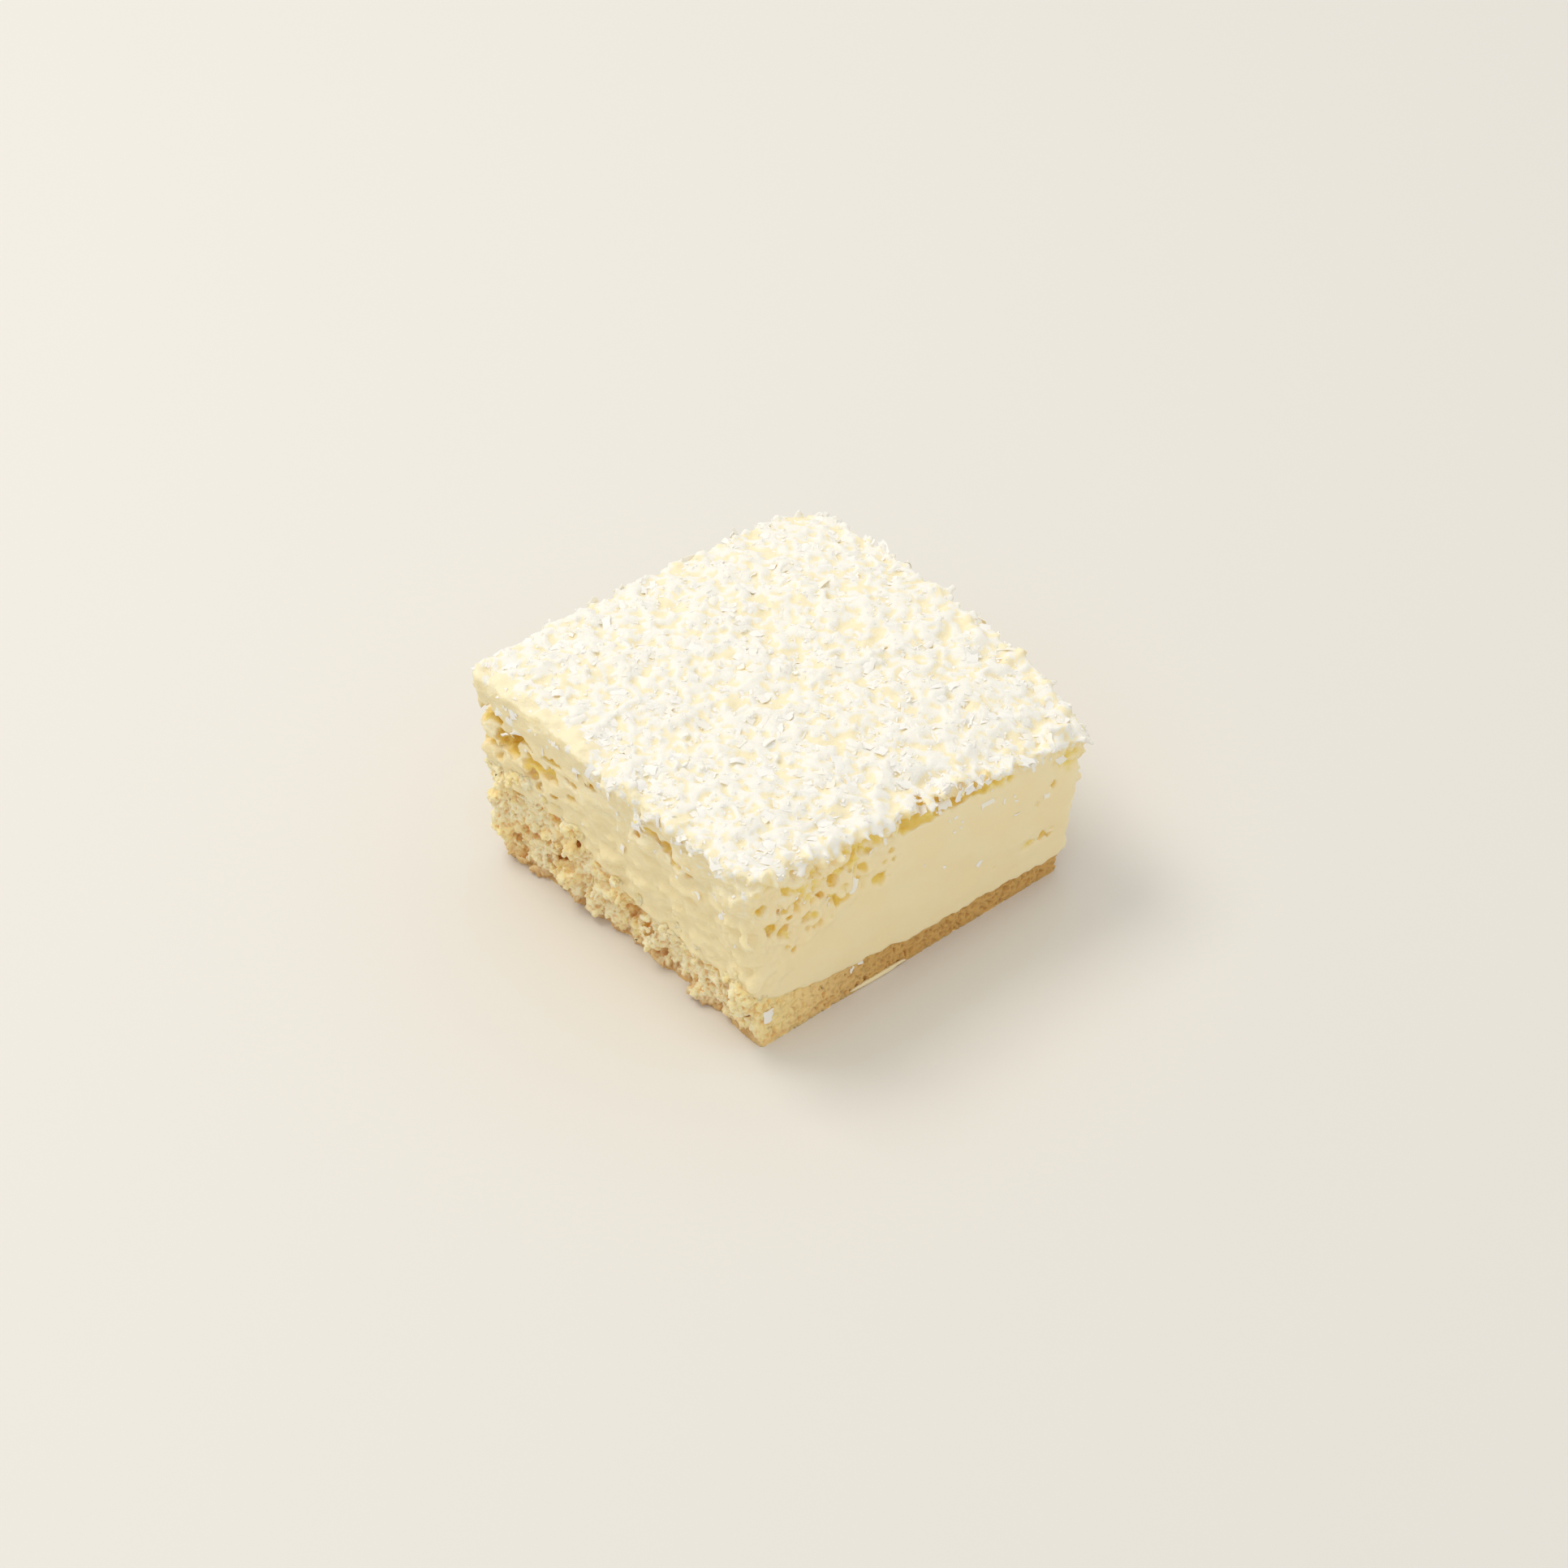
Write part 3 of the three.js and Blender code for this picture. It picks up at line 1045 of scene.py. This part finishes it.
@dataclass
class Grater:
    """Shapes ragged flakes and lets them fall on the top."""

    form: PortionForm
    sunk: float = 0.5
    cupped: float = 0.4
    on_ledge: float = 0.25
    clumps: np.ndarray = field(
        default_factory=lambda: np.random.default_rng(31).random((46, 46))
    )

    def flake(
        self, sizes: FlakeSizes, rng: Random
    ) -> tuple[np.ndarray, tuple[float, float], float]:
        """Shapes one flake, a thin bent sheet with ragged edges.

        Args:
            sizes: The limits of its kind.
            rng: The source of random numbers.

        Returns:
            Its points about its resting place, its length and width on the ground, and its
            thickness, in millimetres.
        """
        length = rng.uniform(*sizes.length)
        width = rng.uniform(*sizes.width)
        thickness = rng.uniform(*sizes.thickness)
        bend = math.radians(rng.uniform(*sizes.bend))
        shape = (sizes.rows, sizes.columns)
        s = np.linspace(-0.5, 0.5, sizes.rows)[:, None] + np.zeros(shape)
        t = np.linspace(-0.5, 0.5, sizes.columns)[None, :] + np.zeros(shape)
        s = s + rng.uniform(-0.5, 0.5, shape) * sizes.ragged / sizes.rows * 2
        angle = bend * s
        radius = length / bend
        stray = 1 + sizes.ragged * rng.uniform(-1, 0.6, shape)
        y = t * width * stray
        x = radius * np.sin(angle)
        cup = rng.uniform(-0.5, 0.5) * width * (t * 2) ** 2 * self.cupped
        z = radius * (1 - np.cos(angle)) + cup
        middle = np.stack([x, y, z], -1)
        normal = np.stack([-np.sin(angle), np.zeros(shape), np.cos(angle)], -1) * thickness / 2
        points = np.concatenate([middle + normal, middle - normal]).reshape(-1, 3)
        if rng.random() < 0.5:
            points *= (1, -1, -1)
        extent = np.ptp(points, axis=0)
        points[:, 2] -= points[:, 2].min() + self.sunk * extent[2]
        return points, (extent[0], extent[1]), thickness

    def lay(self, bed: FlakeBed, sizes: FlakeSizes, rng: Random) -> Optional[np.ndarray]:
        """Lays one flake on the top, and gives its points in metres or None if it falls off."""
        points, size, thickness = self.flake(sizes, rng)
        u, v = rng.uniform(-1.02, 1.02, 2)
        if not self.wanted(u, v, rng):
            return None
        place = np.array(self.form.plan(self.form.rim, u, v)) + self.form.origin_shift
        rest = bed.settle(place, rng.uniform(0, 2 * math.pi), size, thickness)
        if rest is None:
            return None
        lean = Matrix.Rotation(math.radians(rng.normal(0, sizes.lean)), 3, "X")
        lean = lean @ Matrix.Rotation(math.radians(rng.normal(0, sizes.lean)), 3, "Y")
        return ((points @ np.array(lean).T) @ rest[1:] + rest[0]) * MM

    def wanted(self, u: float, v: float, rng: Random) -> bool:
        """Tells if a flake falls at a place: they lie in clumps, and few on the smooth ledge."""
        cells = self.clumps.shape[0] - 1
        row, column = (np.clip((u, v), -1, 1) + 1) / 2 * cells * 0.999
        i, j = int(row), int(column)
        share = smooth_step((row - i, column - j), 0, 1)
        corner = self.clumps[i : i + 2, j : j + 2]
        density = np.array((1 - share[0], share[0])) @ corner @ np.array((1 - share[1], share[1]))
        share_here = self.on_ledge if u < -0.9 and v > 0.15 else 1
        return rng.random() < smooth_step(density, -0.05, 0.45) * share_here

    @staticmethod
    def sheet_faces(rows: int, columns: int) -> np.ndarray:
        """Lists the faces of a closed thin sheet, its upper points first, then its lower ones."""
        grid = np.arange(rows * columns).reshape(rows, columns)
        lower = rows * columns
        corners = [grid[:-1, :-1], grid[1:, :-1], grid[1:, 1:], grid[:-1, 1:]]
        tops = np.stack(corners, -1).reshape(-1, 4)
        rim = np.concatenate([grid[:-1, 0], grid[-1, :-1], grid[:0:-1, -1], grid[0, :0:-1]])
        after = np.roll(rim, -1)
        walls = np.stack([rim + lower, after + lower, after, rim], -1)
        return np.concatenate([tops, tops[:, ::-1] + lower, walls])


@dataclass
class CreamLayer:
    """The deep layer of mascarpone cream, with its air pockets and torn side."""

    form: PortionForm
    finish: CreamFinish = field(default_factory=CreamFinish)
    overlap: float = 0.4
    torn_overlap: float = 2.2
    cut_overlap: float = 0.9
    voxel: float = 0.31
    triangles: int = 195_000
    seed: int = 11
    cut_hollows: tuple[Hollow, ...] = Hollow.rows(
        (3.5, 26, 2.6, 5, 2.2), (9, 28.5, 2, 2.8, 1.6), (10.5, 24.5, 1.8, 2.6, 1.6),
        (16, 31, 2.6, 2.2, 1.6), (24.8, 23.5, 3.6, 2, 1.6), (22.5, 33, 4, 2.6, 2),
        (30.5, 32, 6.5, 3.6, 2.4), (40, 31.8, 7, 2.6, 2.2), (28, 33.8, 3.6, 4.0, 2.2),
        (33, 33.4, 4.0, 4.6, 2.6), (36.5, 32.6, 3.0, 3.6, 2.2), (43.5, 32.0, 2.6, 3.2, 2.0),
        (59.5, 12.5, 2, 3.4, 1.8), (8, 18.5, 1.4, 2.6, 1.4), (12.3, 21.5, 2.8, 2.0, 1.2),
        (26.3, 24.6, 1.4, 1.2, 1.6), (11.5, 33.5, 1.6, 1.6, 1.4), (60, 23.5, 1.3, 2.8, 1.2),
        (57, 21, 1.4, 2.4, 1.2), (49.5, 11, 1.8, 1.1, 1.0), (57, 11.5, 4.5, 3.0, 0.6),
    )
    torn_hollows: tuple[Hollow, ...] = Hollow.rows(
        (13.8, 30, 2, 2.4, 1.8), (18.8, 32.2, 8, 3.2, 2.8), (22, 33.2, 5, 2.6, 3.4),
        (16.2, 31.2, 3.6, 2.4, 3.0), (33.5, 34.8, 3.4, 3, 2.4), (49, 28.2, 11, 3.2, 3),
        (53, 25.6, 6, 2.2, 2.4), (57.5, 29.6, 7, 5, 4.5), (42, 30.6, 6, 1.5, 2.2),
        (37, 32.4, 4, 1.6, 1.8), (61, 26.5, 4, 2.0, 2.4), (60.8, 32.8, 7, 4.2, 4.5),
        (64, 31.4, 6, 3.6, 3.6), (53, 31.6, 9, 1.6, 3.0), (46, 32.0, 7, 1.4, 2.6),
    )
    zones: tuple[HollowZone, ...] = (
        HollowZone(Side.CUT, 9, (1, 9), (15, 32), (0.7, 2.0)),
        HollowZone(Side.CUT, 34, (6, 18), (22, 35), (0.8, 2.6)),
        HollowZone(Side.CUT, 32, (14, 28), (25, 34.5), (0.8, 2.6)),
        HollowZone(Side.CUT, 42, (19, 46), (30.5, 35), (1.0, 3.0)),
        HollowZone(Side.CUT, 14, (44, 62), (29.5, 33), (0.8, 2.2)),
        HollowZone(Side.CUT, 6, (50, 66), (9, 27), (0.7, 1.6)),
        HollowZone(Side.TORN, 12, (4, 40), (27, 37), (0.8, 2.4)),
        HollowZone(Side.TORN, 22, (40, 64), (24, 32), (1.4, 5.0), (0.3, 0.6)),
        HollowZone(Side.FAR_CUT, 40, (4, 62), (18, 34), (0.7, 2.6)),
        HollowZone(Side.FAR_TORN, 30, (4, 62), (21, 32), (1.4, 7.0), (0.18, 0.4)),
        HollowZone(Side.CUT, 70, (5, 27), (21, 34.5), (0.6, 1.5)),
    )
    lumpy_top: Relief = Relief(Noise.SOFT, 3.5, 3.0, octaves=3)
    torn_face: Relief = Relief(Noise.SOFT, 2.4, 1.3, (3, 3, 1), 3)
    torn_tears: Relief = Relief(Noise.HARD, 3.6, 3.0, (2.2, 2.2, 1), 3, 0.2)
    torn_grain: Relief = Relief(Noise.HARD, 1.2, 1.5, (2.4, 2.4, 1), 3, 0.25)
    cut_face: Relief = Relief(Noise.SOFT, 6, 0.8, (2, 2, 1), 2, 0.05)
    hem: Relief = Relief(Noise.SOFT, 2.2, 2.0, octaves=4, way="Z")
    whipped: Relief = Relief(Noise.HARD, 3.0, 3.2, octaves=3, middle=0.22)
    front_foam: Relief = Relief(Noise.HARD, 1.7, -3.6, octaves=3, middle=0, start=0.37)
    porous_strip: Relief = Relief(Noise.HARD, 1.2, -2.6, octaves=2, middle=0, start=0.2)
    ragged_rim: Relief = Relief(Noise.HARD, 3.0, 4.6, octaves=3, middle=0.25)
    pocket_edge: Relief = Relief(Noise.HARD, 1.1, 2.3, octaves=3, middle=0.3)
    fused: tuple[FlakeSizes, ...] = (
        FlakeSizes(3900, (1.0, 3.4), (0.7, 2.0), (0.35, 0.6), (5, 50), 12, 0.35, 5, 4, 0),
        FlakeSizes(140, (3.0, 6.0), (0.7, 1.4), (0.4, 0.55), (30, 110), 9, 0.15, 9, 2, 0),
    )
    fused_sunk: float = 0.48
    bare_coat: float = 0.2
    deepest: float = 3.2
    rim_lumps: int = 300
    rim_lump_size: Limits = (1.0, 2.6)
    rim_lump_stretch: Limits = (0.5, 1.2)
    rim_lump_drop: Limits = (-0.2, 1.6)
    rim_lump_inset: Limits = (0.0, 1.4)
    softening: float = 0.4
    foot_smear: Hollow = Hollow(25, 0.7, 18, 1.5, 0.8)
    half_rim: Limits = (37.5, 37)
    half_foot: float = 34
    edge_share: Limits = (0.7, 1)
    upper_part: Limits = (27, 30)

    def build(self) -> Piece:
        """Models the cream and dresses it.

        Returns:
            The finished piece.
        """
        piece = BlockMaker(self.form).make("mascarpone", self.underside, self.form.top)
        skin = self.press_reliefs(piece)
        choose(piece, *self.fused_flakes(skin))
        bpy.ops.object.join()
        remesh(piece, self.voxel)
        carve(piece, pocket_tool(self.form, skin, self.drawn_hollows(), self.pocket_edge))
        remesh(piece, self.voxel)
        apply_modifier(piece, "SMOOTH", factor=self.softening, iterations=1)
        limit_triangles(piece, self.triangles)
        self.paint_depths(piece, skin)
        smooth_shading(piece, 70)
        dress(piece, self.finish.material())
        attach(piece, "root")
        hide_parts("mascarpone_cream")
        return piece

    def underside(self, u: float, v: float) -> float:
        """Gives the height of the underside, lower at the sides, where cream covers sponge."""
        torn = max(smooth_step(-u, *self.edge_share), smooth_step(v, *self.edge_share))
        cut = max(smooth_step(u, *self.edge_share), smooth_step(-v, *self.edge_share))
        torn *= self.torn_overlap - self.overlap
        cut *= self.cut_overlap - self.overlap
        return float(self.form.layer(u, v) - self.overlap - max(torn, cut))

    def press_reliefs(self, piece: Piece) -> BVHTree:
        """Presses each region's relief into the block.

        Args:
            piece: The plain block.

        Returns:
            The skin as it is before foam breaks it up.
        """
        for name, weights in self.regions(piece).items():
            weigh(piece, name, weights)
        for relief, region in (
            (self.lumpy_top, "upper"),
            (self.torn_face, "torn"),
            (self.torn_tears, "tears"),
            (self.torn_grain, "tears"),
            (self.cut_face, "cut"),
            (self.hem, "hem"),
            (self.ragged_rim, "rim"),
            (self.whipped, "front"),
        ):
            relief.press(piece, region)
        skin = surface_of(piece)
        self.porous_strip.press(piece, "strip")
        self.front_foam.press(piece, "airy")
        return skin

    def regions(self, piece: Piece) -> dict[str, np.ndarray]:
        """Weighs the points by the regions of the block.

        Args:
            piece: The plain block.

        Returns:
            A weight from 0 to 1 for each point, by the region's name.
        """
        x, y, z = points_of(piece).T / MM
        normals = normals_of(piece)
        half_x, half_y = self.half_rim
        below_rim = self.form.top(np.clip(x / half_x, -1, 1), np.clip(y / half_y, -1, 1)) - z
        to_edge = np.minimum(half_x - np.abs(x), half_y - np.abs(y))
        plan = np.clip(x / self.half_foot, -1, 1), np.clip(y / self.half_foot, -1, 1)
        above_sponge = z - self.form.layer(*plan)
        upright = smooth_step(np.abs(normals[:, 2]), 0.9, 0.5)
        torn = smooth_step(self.to_torn(normals), 0.3, 0.8) * upright
        rim = smooth_step(to_edge, 5, 1) * smooth_step(below_rim, 3.5, 1)
        right_edge = smooth_step(x, 33, 36) * smooth_step(y, -31, -34)
        ledge = smooth_step(y, 0, 10) * smooth_step(z, 28, 31)
        near = smooth_step(y, -28, -31)
        front = smooth_step(z - (10 + 0.7 * (x + 33)), -2, 4)
        airy = smooth_step(x, -4, -12) * smooth_step(x, -35, -30) * smooth_step(below_rim, 17, 11)
        strip = smooth_step(below_rim, 4.6, 3.0) * smooth_step(x, 30, 24) * smooth_step(x, -22, -8)
        strip *= smooth_step(np.sin(x * 0.42 + 0.8) + 0.6 * np.sin(x * 1.1), -1.0, 0.2)
        far = smooth_step(x, 28, 31) * smooth_step(below_rim, 9, 3)
        return {
            "upper": smooth_step(normals[:, 2], 0.4, 0.9),
            "torn": torn,
            "tears": torn * (1 - 0.8 * ledge),
            "cut": upright * (1 - torn),
            "hem": smooth_step(to_edge, 6, 4) * smooth_step(above_sponge, 2.0, 0.2),
            "front": front * near * upright,
            "airy": airy * near * upright,
            "strip": np.maximum(strip * near, far) * upright,
            "rim": np.maximum(rim * (1 - 0.7 * ledge), right_edge),
        }

    @staticmethod
    def to_torn(normals: np.ndarray) -> np.ndarray:
        """Tells how far normals point out of a torn side."""
        return np.maximum(-normals[:, 0], normals[:, 1])

    def fused_flakes(self, skin: BVHTree) -> list[Piece]:
        """Makes flakes that the cream has coated, and a smear at the foot, as meshes to melt in.

        Args:
            skin: The cream's surface.

        Returns:
            The flakes and lumps, partly sunk into the surface.
        """
        rng = np.random.default_rng(self.seed)
        bed = FlakeBed(skin)
        grater = Grater(self.form, self.fused_sunk)
        layers = []
        for sizes in self.fused:
            laid = [grater.lay(bed, sizes, rng) for _ in range(sizes.count)]
            sheets = [sheet for sheet in laid if sheet is not None]
            layers.append(copies("fused", sheets, grater.sheet_faces(sizes.rows, sizes.columns)))
        shape, faces = uneven_ball(1)
        lumps = [self.rim_lump(shape, rng) for _ in range(self.rim_lumps)]
        smear = self.foot_smear
        place = self.form.place_on(Side.CUT, smear.along, smear.up)
        lumps.append(placed(shape * (smear.wide, smear.high, 2 * smear.deep), place))
        layers.append(copies("coated", lumps, faces))
        return layers

    def rim_lump(self, shape: np.ndarray, rng: Random) -> np.ndarray:
        """Gives the points of one coated flake at a random place of the rim."""
        side = Side.drawn(rng)
        u, v = side.place(rng.uniform(0.02, 0.5 if side is Side.TORN else 0.98))
        height = float(self.form.top(u, v)) - rng.uniform(*self.rim_lump_drop)
        inwards = np.array(side.out) * rng.uniform(*self.rim_lump_inset) * MM
        size = rng.uniform(*self.rim_lump_size) * rng.uniform(*self.rim_lump_stretch, 3)
        centre = np.array(self.form.point(u, v, height))
        return shape * size @ drawn_turn(rng) + centre - inwards

    def drawn_hollows(self) -> list[PlacedHollow]:
        """Lists all air pockets with their sides: the placed ones, then the drawn ones."""
        rng = np.random.default_rng(self.seed)
        hollows = [(Side.CUT, hollow) for hollow in self.cut_hollows]
        hollows += [(Side.TORN, hollow) for hollow in self.torn_hollows]
        for zone in self.zones:
            hollows += zone.draw(rng)
        return hollows

    def paint_depths(self, piece: Piece, skin: BVHTree) -> None:
        """Paints how far each point lies under the skin or above it, for painted shade in the air
        pockets, and which sides are cut, for their painted warm shade.
        """
        points = points_of(piece)
        depths = np.empty(len(points))
        for index, point in enumerate(points.tolist()):
            spot, normal, _, _ = skin.find_nearest(point)
            depths[index] = (spot - Vector(point)).dot(normal) / MM
        x, y, z = points.T / MM
        # The depth under the skin drives the painted shade in the air pockets.
        paint(piece, "hollow", np.clip(depths / self.deepest, 0, 1))
        normals = normals_of(piece)
        upper = smooth_step(z, *self.upper_part)
        raised = smooth_step(-depths, 0.0, 0.24) * upper
        # Less white in the creases between the flakes, so that the warmer cream shows there as
        # painted warm shade.
        raised *= 1 - 0.7 * sunk_share(piece, 0.12)
        bare = self.bare_coat * (upper * smooth_step(normals[:, 2], 0.2, 0.7))
        paint(piece, "coated", np.maximum(raised, bare))
        # The cut sides get a yellower colour as painted warm shade; they are also smoother.
        paint(piece, "shaded_cut", np.maximum(smooth_step(y, -32, -34), smooth_step(x, 33, 35)))
        leaning = smooth_step(self.to_torn(normals), 0.2, 0.8)
        paint(piece, "torn_side", leaning * np.maximum(x < -29, y > 27))


class FlakeKind(Enum):
    """Kinds of flake, by the names of their pieces."""

    CRUMBS = "grated_crumbs"
    SHREDS = "grated_shreds"
    CHIPS = "grated_chips"
    CURLS = "grated_curls"


@dataclass(frozen=True)
class StuckFlake:
    """A flake that sticks to a side, by its place in millimetres and its turn in degrees."""

    kind: FlakeKind
    side: Side
    along: float
    up: float
    turn: float

    @classmethod
    def rows(cls, side: Side, *rows: tuple[str, float, float, float]) -> list["StuckFlake"]:
        """Makes flakes on a side from rows of kind, place along and up, and turn."""
        return [cls(FlakeKind[kind], side, *numbers) for kind, *numbers in rows]


@dataclass
class GratedFlakes:
    """The white flakes grated over the top, with some that cling to the sides."""

    form: PortionForm
    finish: FlakeFinish = field(default_factory=FlakeFinish)
    seed: int = 23
    kinds: dict[FlakeKind, FlakeSizes] = field(
        default_factory=lambda: {
            FlakeKind.CRUMBS: FlakeSizes(
                1800, (0.3, 0.8), (0.25, 0.6), (0.15, 0.35), (5, 30), 20, 0.3, 2, 2, 90
            ),
            FlakeKind.SHREDS: FlakeSizes(
                800, (0.7, 2.0), (0.3, 0.7), (0.08, 0.16), (5, 50), 5, 0.3, 4, 2, 50
            ),
            FlakeKind.CHIPS: FlakeSizes(
                380, (1.2, 3.0), (0.9, 2.1), (0.1, 0.2), (5, 40), 4, 0.3, 5, 4, 26
            ),
            FlakeKind.CURLS: FlakeSizes(
                60, (2.4, 5.0), (0.6, 1.5), (0.1, 0.18), (30, 120), 4, 0.15, 9, 2, 16
            ),
        }
    )
    stuck: tuple[StuckFlake, ...] = (
        *StuckFlake.rows(
            Side.CUT,
            ("CURLS", 25, 33.5, 82), ("CURLS", 29, 32.2, 95), ("CHIPS", 38, 34, 20),
            ("CHIPS", 40, 33, 60), ("CHIPS", 41.5, 33.8, 110), ("SHREDS", 41, 31, 5),
            ("CHIPS", 44.5, 33, 70), ("CHIPS", 46, 32.4, 30), ("CHIPS", 46, 14, 45),
            ("CHIPS", 23.5, 30.5, 10), ("CHIPS", 19, 26.5, 70), ("SHREDS", 15, 24, 80),
            ("CHIPS", 2, 6.5, 85), ("CURLS", 20.5, 6, 15), ("SHREDS", 56.5, 30.5, 85),
            ("CHIPS", 60, 29.5, 10), ("SHREDS", 49.5, 26, 80),
        ),
        *StuckFlake.rows(
            Side.TORN,
            ("CHIPS", 40, 34.5, 20), ("CHIPS", 37, 36, 80), ("CHIPS", 11.5, 27.5, 40),
            ("CHIPS", 6, 27, 60), ("CHIPS", 7.5, 30, 120), ("SHREDS", 31, 28, 80),
            ("SHREDS", 41, 22, 20),
        ),
    )
    rim_gap: float = 0.5
    lowest_fall: float = 18
    side_length: float = 65
    stuck_lean: float = 14

    def build(self, cream: Piece) -> list[Piece]:
        """Grates the flakes over the cream and dresses them.

        Args:
            cream: The finished cream.

        Returns:
            One piece for each kind of flake.
        """
        rng = np.random.default_rng(self.seed)
        surface = surface_of(cream)
        bed = FlakeBed(surface)
        grater = Grater(self.form)
        counts = [sizes.count for sizes in self.kinds.values()]
        order = np.repeat(np.arange(len(counts)), counts)
        rng.shuffle(order)
        sheets: dict[FlakeKind, list[np.ndarray]] = {kind: [] for kind in self.kinds}
        names = list(self.kinds)
        for index in order:
            kind = names[index]
            points = grater.lay(bed, self.kinds[kind], rng)
            if points is not None:
                sheets[kind].append(points)
        for kind, sizes in self.kinds.items():
            for _ in range(sizes.on_sides):
                sheets[kind].append(self.stick(grater, surface, self.drawn_place(kind, rng), rng))
        for place in self.stuck:
            sheets[place.kind].append(self.stick(grater, surface, place, rng))
        material = self.finish.material()
        return [self.joined(kind, sheets[kind], material, rng) for kind in self.kinds]

    def drawn_place(self, kind: FlakeKind, rng: Random) -> StuckFlake:
        """Draws a place on a side for a flake, mostly close under the rim."""
        side = Side.drawn(rng)
        share = rng.uniform(0.04, 0.96)
        up = float(self.form.top(*side.place(share)))
        up -= self.rim_gap + self.lowest_fall * rng.random() ** 4
        return StuckFlake(kind, side, share * self.side_length, up, rng.uniform(0, 360))

    def stick(
        self, grater: Grater, surface: BVHTree, place: StuckFlake, rng: Random
    ) -> np.ndarray:
        """Sticks one flake to a side and gives its points in metres."""
        points, _, _ = grater.flake(self.kinds[place.kind], rng)
        spot = self.form.place_on(place.side, place.along, place.up)
        centre = on_surface(surface, spot.translation, place.side)
        turn = spot.to_3x3() @ Matrix.Rotation(math.radians(place.turn), 3, "Z")
        turn = turn @ Matrix.Rotation(math.radians(rng.normal(0, self.stuck_lean)), 3, "X")
        return points @ np.array(turn).T * MM + np.array(centre)

    def joined(
        self, kind: FlakeKind, sheets: list[np.ndarray], material: Material, rng: Random
    ) -> Piece:
        """Joins all flakes of one kind into a dressed piece."""
        sizes = self.kinds[kind]
        piece = copies(kind.value, sheets, Grater.sheet_faces(sizes.rows, sizes.columns))
        paint(piece, "tone", np.repeat(rng.random(len(sheets)) ** 2, len(sheets[0])))
        smooth_shading(piece, 50)
        dress(piece, material)
        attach(piece, "root")
        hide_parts("mascarpone_cream")
        return piece


@dataclass
class Studio:
    """The pale floor, soft lights and the camera."""

    form: PortionForm
    floor: FloorFinish = field(default_factory=FloorFinish)
    floor_size: float = 3000
    aim: Limits = (11.81, 14.11)
    azimuth: float = -37.98
    elevation: float = 42.27
    roll: float = -1.47
    distance: float = 735.4
    lens: float = 95.68
    sensor: float = 36
    nearest: float = 10
    bounces: int = 24
    key_way: Triple = (-0.185, 0.46, 0.87)
    key_power: float = 3.45
    key_size: float = 450
    key_distance: float = 1000
    key_colour: Triple = (1.0, 0.95, 0.86)
    sky_colour: Colour = (1.0, 0.98, 0.94, 1)
    sky_strength: float = 0.78

    def build(self) -> None:
        """Sets up floor, light and camera."""
        self.lay_floor()
        self.light()
        self.aim_camera()

    def lay_floor(self) -> None:
        """Lays the floor under the portion."""
        size = self.floor_size * MM
        bpy.ops.mesh.primitive_grid_add(x_subdivisions=4, y_subdivisions=4, size=size)
        ground = bpy.context.object
        ground.name = "floor"
        ground.data.materials.append(self.floor.material())

    def light(self) -> None:
        """Hangs a soft key light behind the portion on the left, under a pale sky."""
        way = Vector(self.key_way).normalized()
        bpy.ops.object.light_add(type="AREA", location=way * self.key_distance * MM)
        key = bpy.context.object
        key.rotation_euler = way.to_track_quat("Z", "Y").to_euler()
        key.data.energy = self.key_power
        key.data.size = self.key_size * MM
        key.data.color = self.key_colour
        world = bpy.data.worlds.new("sky")
        bpy.context.scene.world = world
        world.use_nodes = True
        background = world.node_tree.nodes["Background"]
        background.inputs["Color"].default_value = self.sky_colour
        background.inputs["Strength"].default_value = self.sky_strength

    def aim_camera(self) -> None:
        """Places the camera at the viewing angle."""
        azimuth = math.radians(self.azimuth)
        elevation = math.radians(self.elevation)
        flat = Vector((math.sin(azimuth), -math.cos(azimuth), 0))
        back = flat * math.cos(elevation) + Vector((0, 0, math.sin(elevation)))
        right = Vector((math.cos(azimuth), math.sin(azimuth), 0))
        turn = Matrix((right, back.cross(right), back)).transposed()
        turn = turn @ Matrix.Rotation(math.radians(self.roll), 3, "Z")
        aim = Vector((*np.add(self.aim, self.form.origin_shift), 0))
        place = (aim + back * self.distance) * MM
        bpy.ops.object.camera_add(location=place, rotation=turn.to_euler())
        camera = bpy.context.object
        camera.data.lens = self.lens
        camera.data.sensor_width = self.sensor
        camera.data.clip_start = self.nearest * MM
        bpy.context.scene.camera = camera
        bpy.context.scene.view_settings.view_transform = "Standard"
        bpy.context.scene.cycles.max_bounces = self.bounces
        bpy.context.scene.cycles.diffuse_bounces = self.bounces


def main() -> None:
    """Builds the portion piece by piece, then the studio."""
    logging.basicConfig(level=logging.INFO, format="%(name)s: %(message)s")
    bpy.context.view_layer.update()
    form = PortionForm()
    sponge = SpongeBase(form).build()
    cream = CreamLayer(form).build()
    flakes = GratedFlakes(form).build(cream)
    for piece in (sponge, cream, *flakes):
        LOG.info("%s: %d faces", piece.name, len(piece.data.polygons))
    Studio(form).build()


if __name__ == "__main__":
    main()
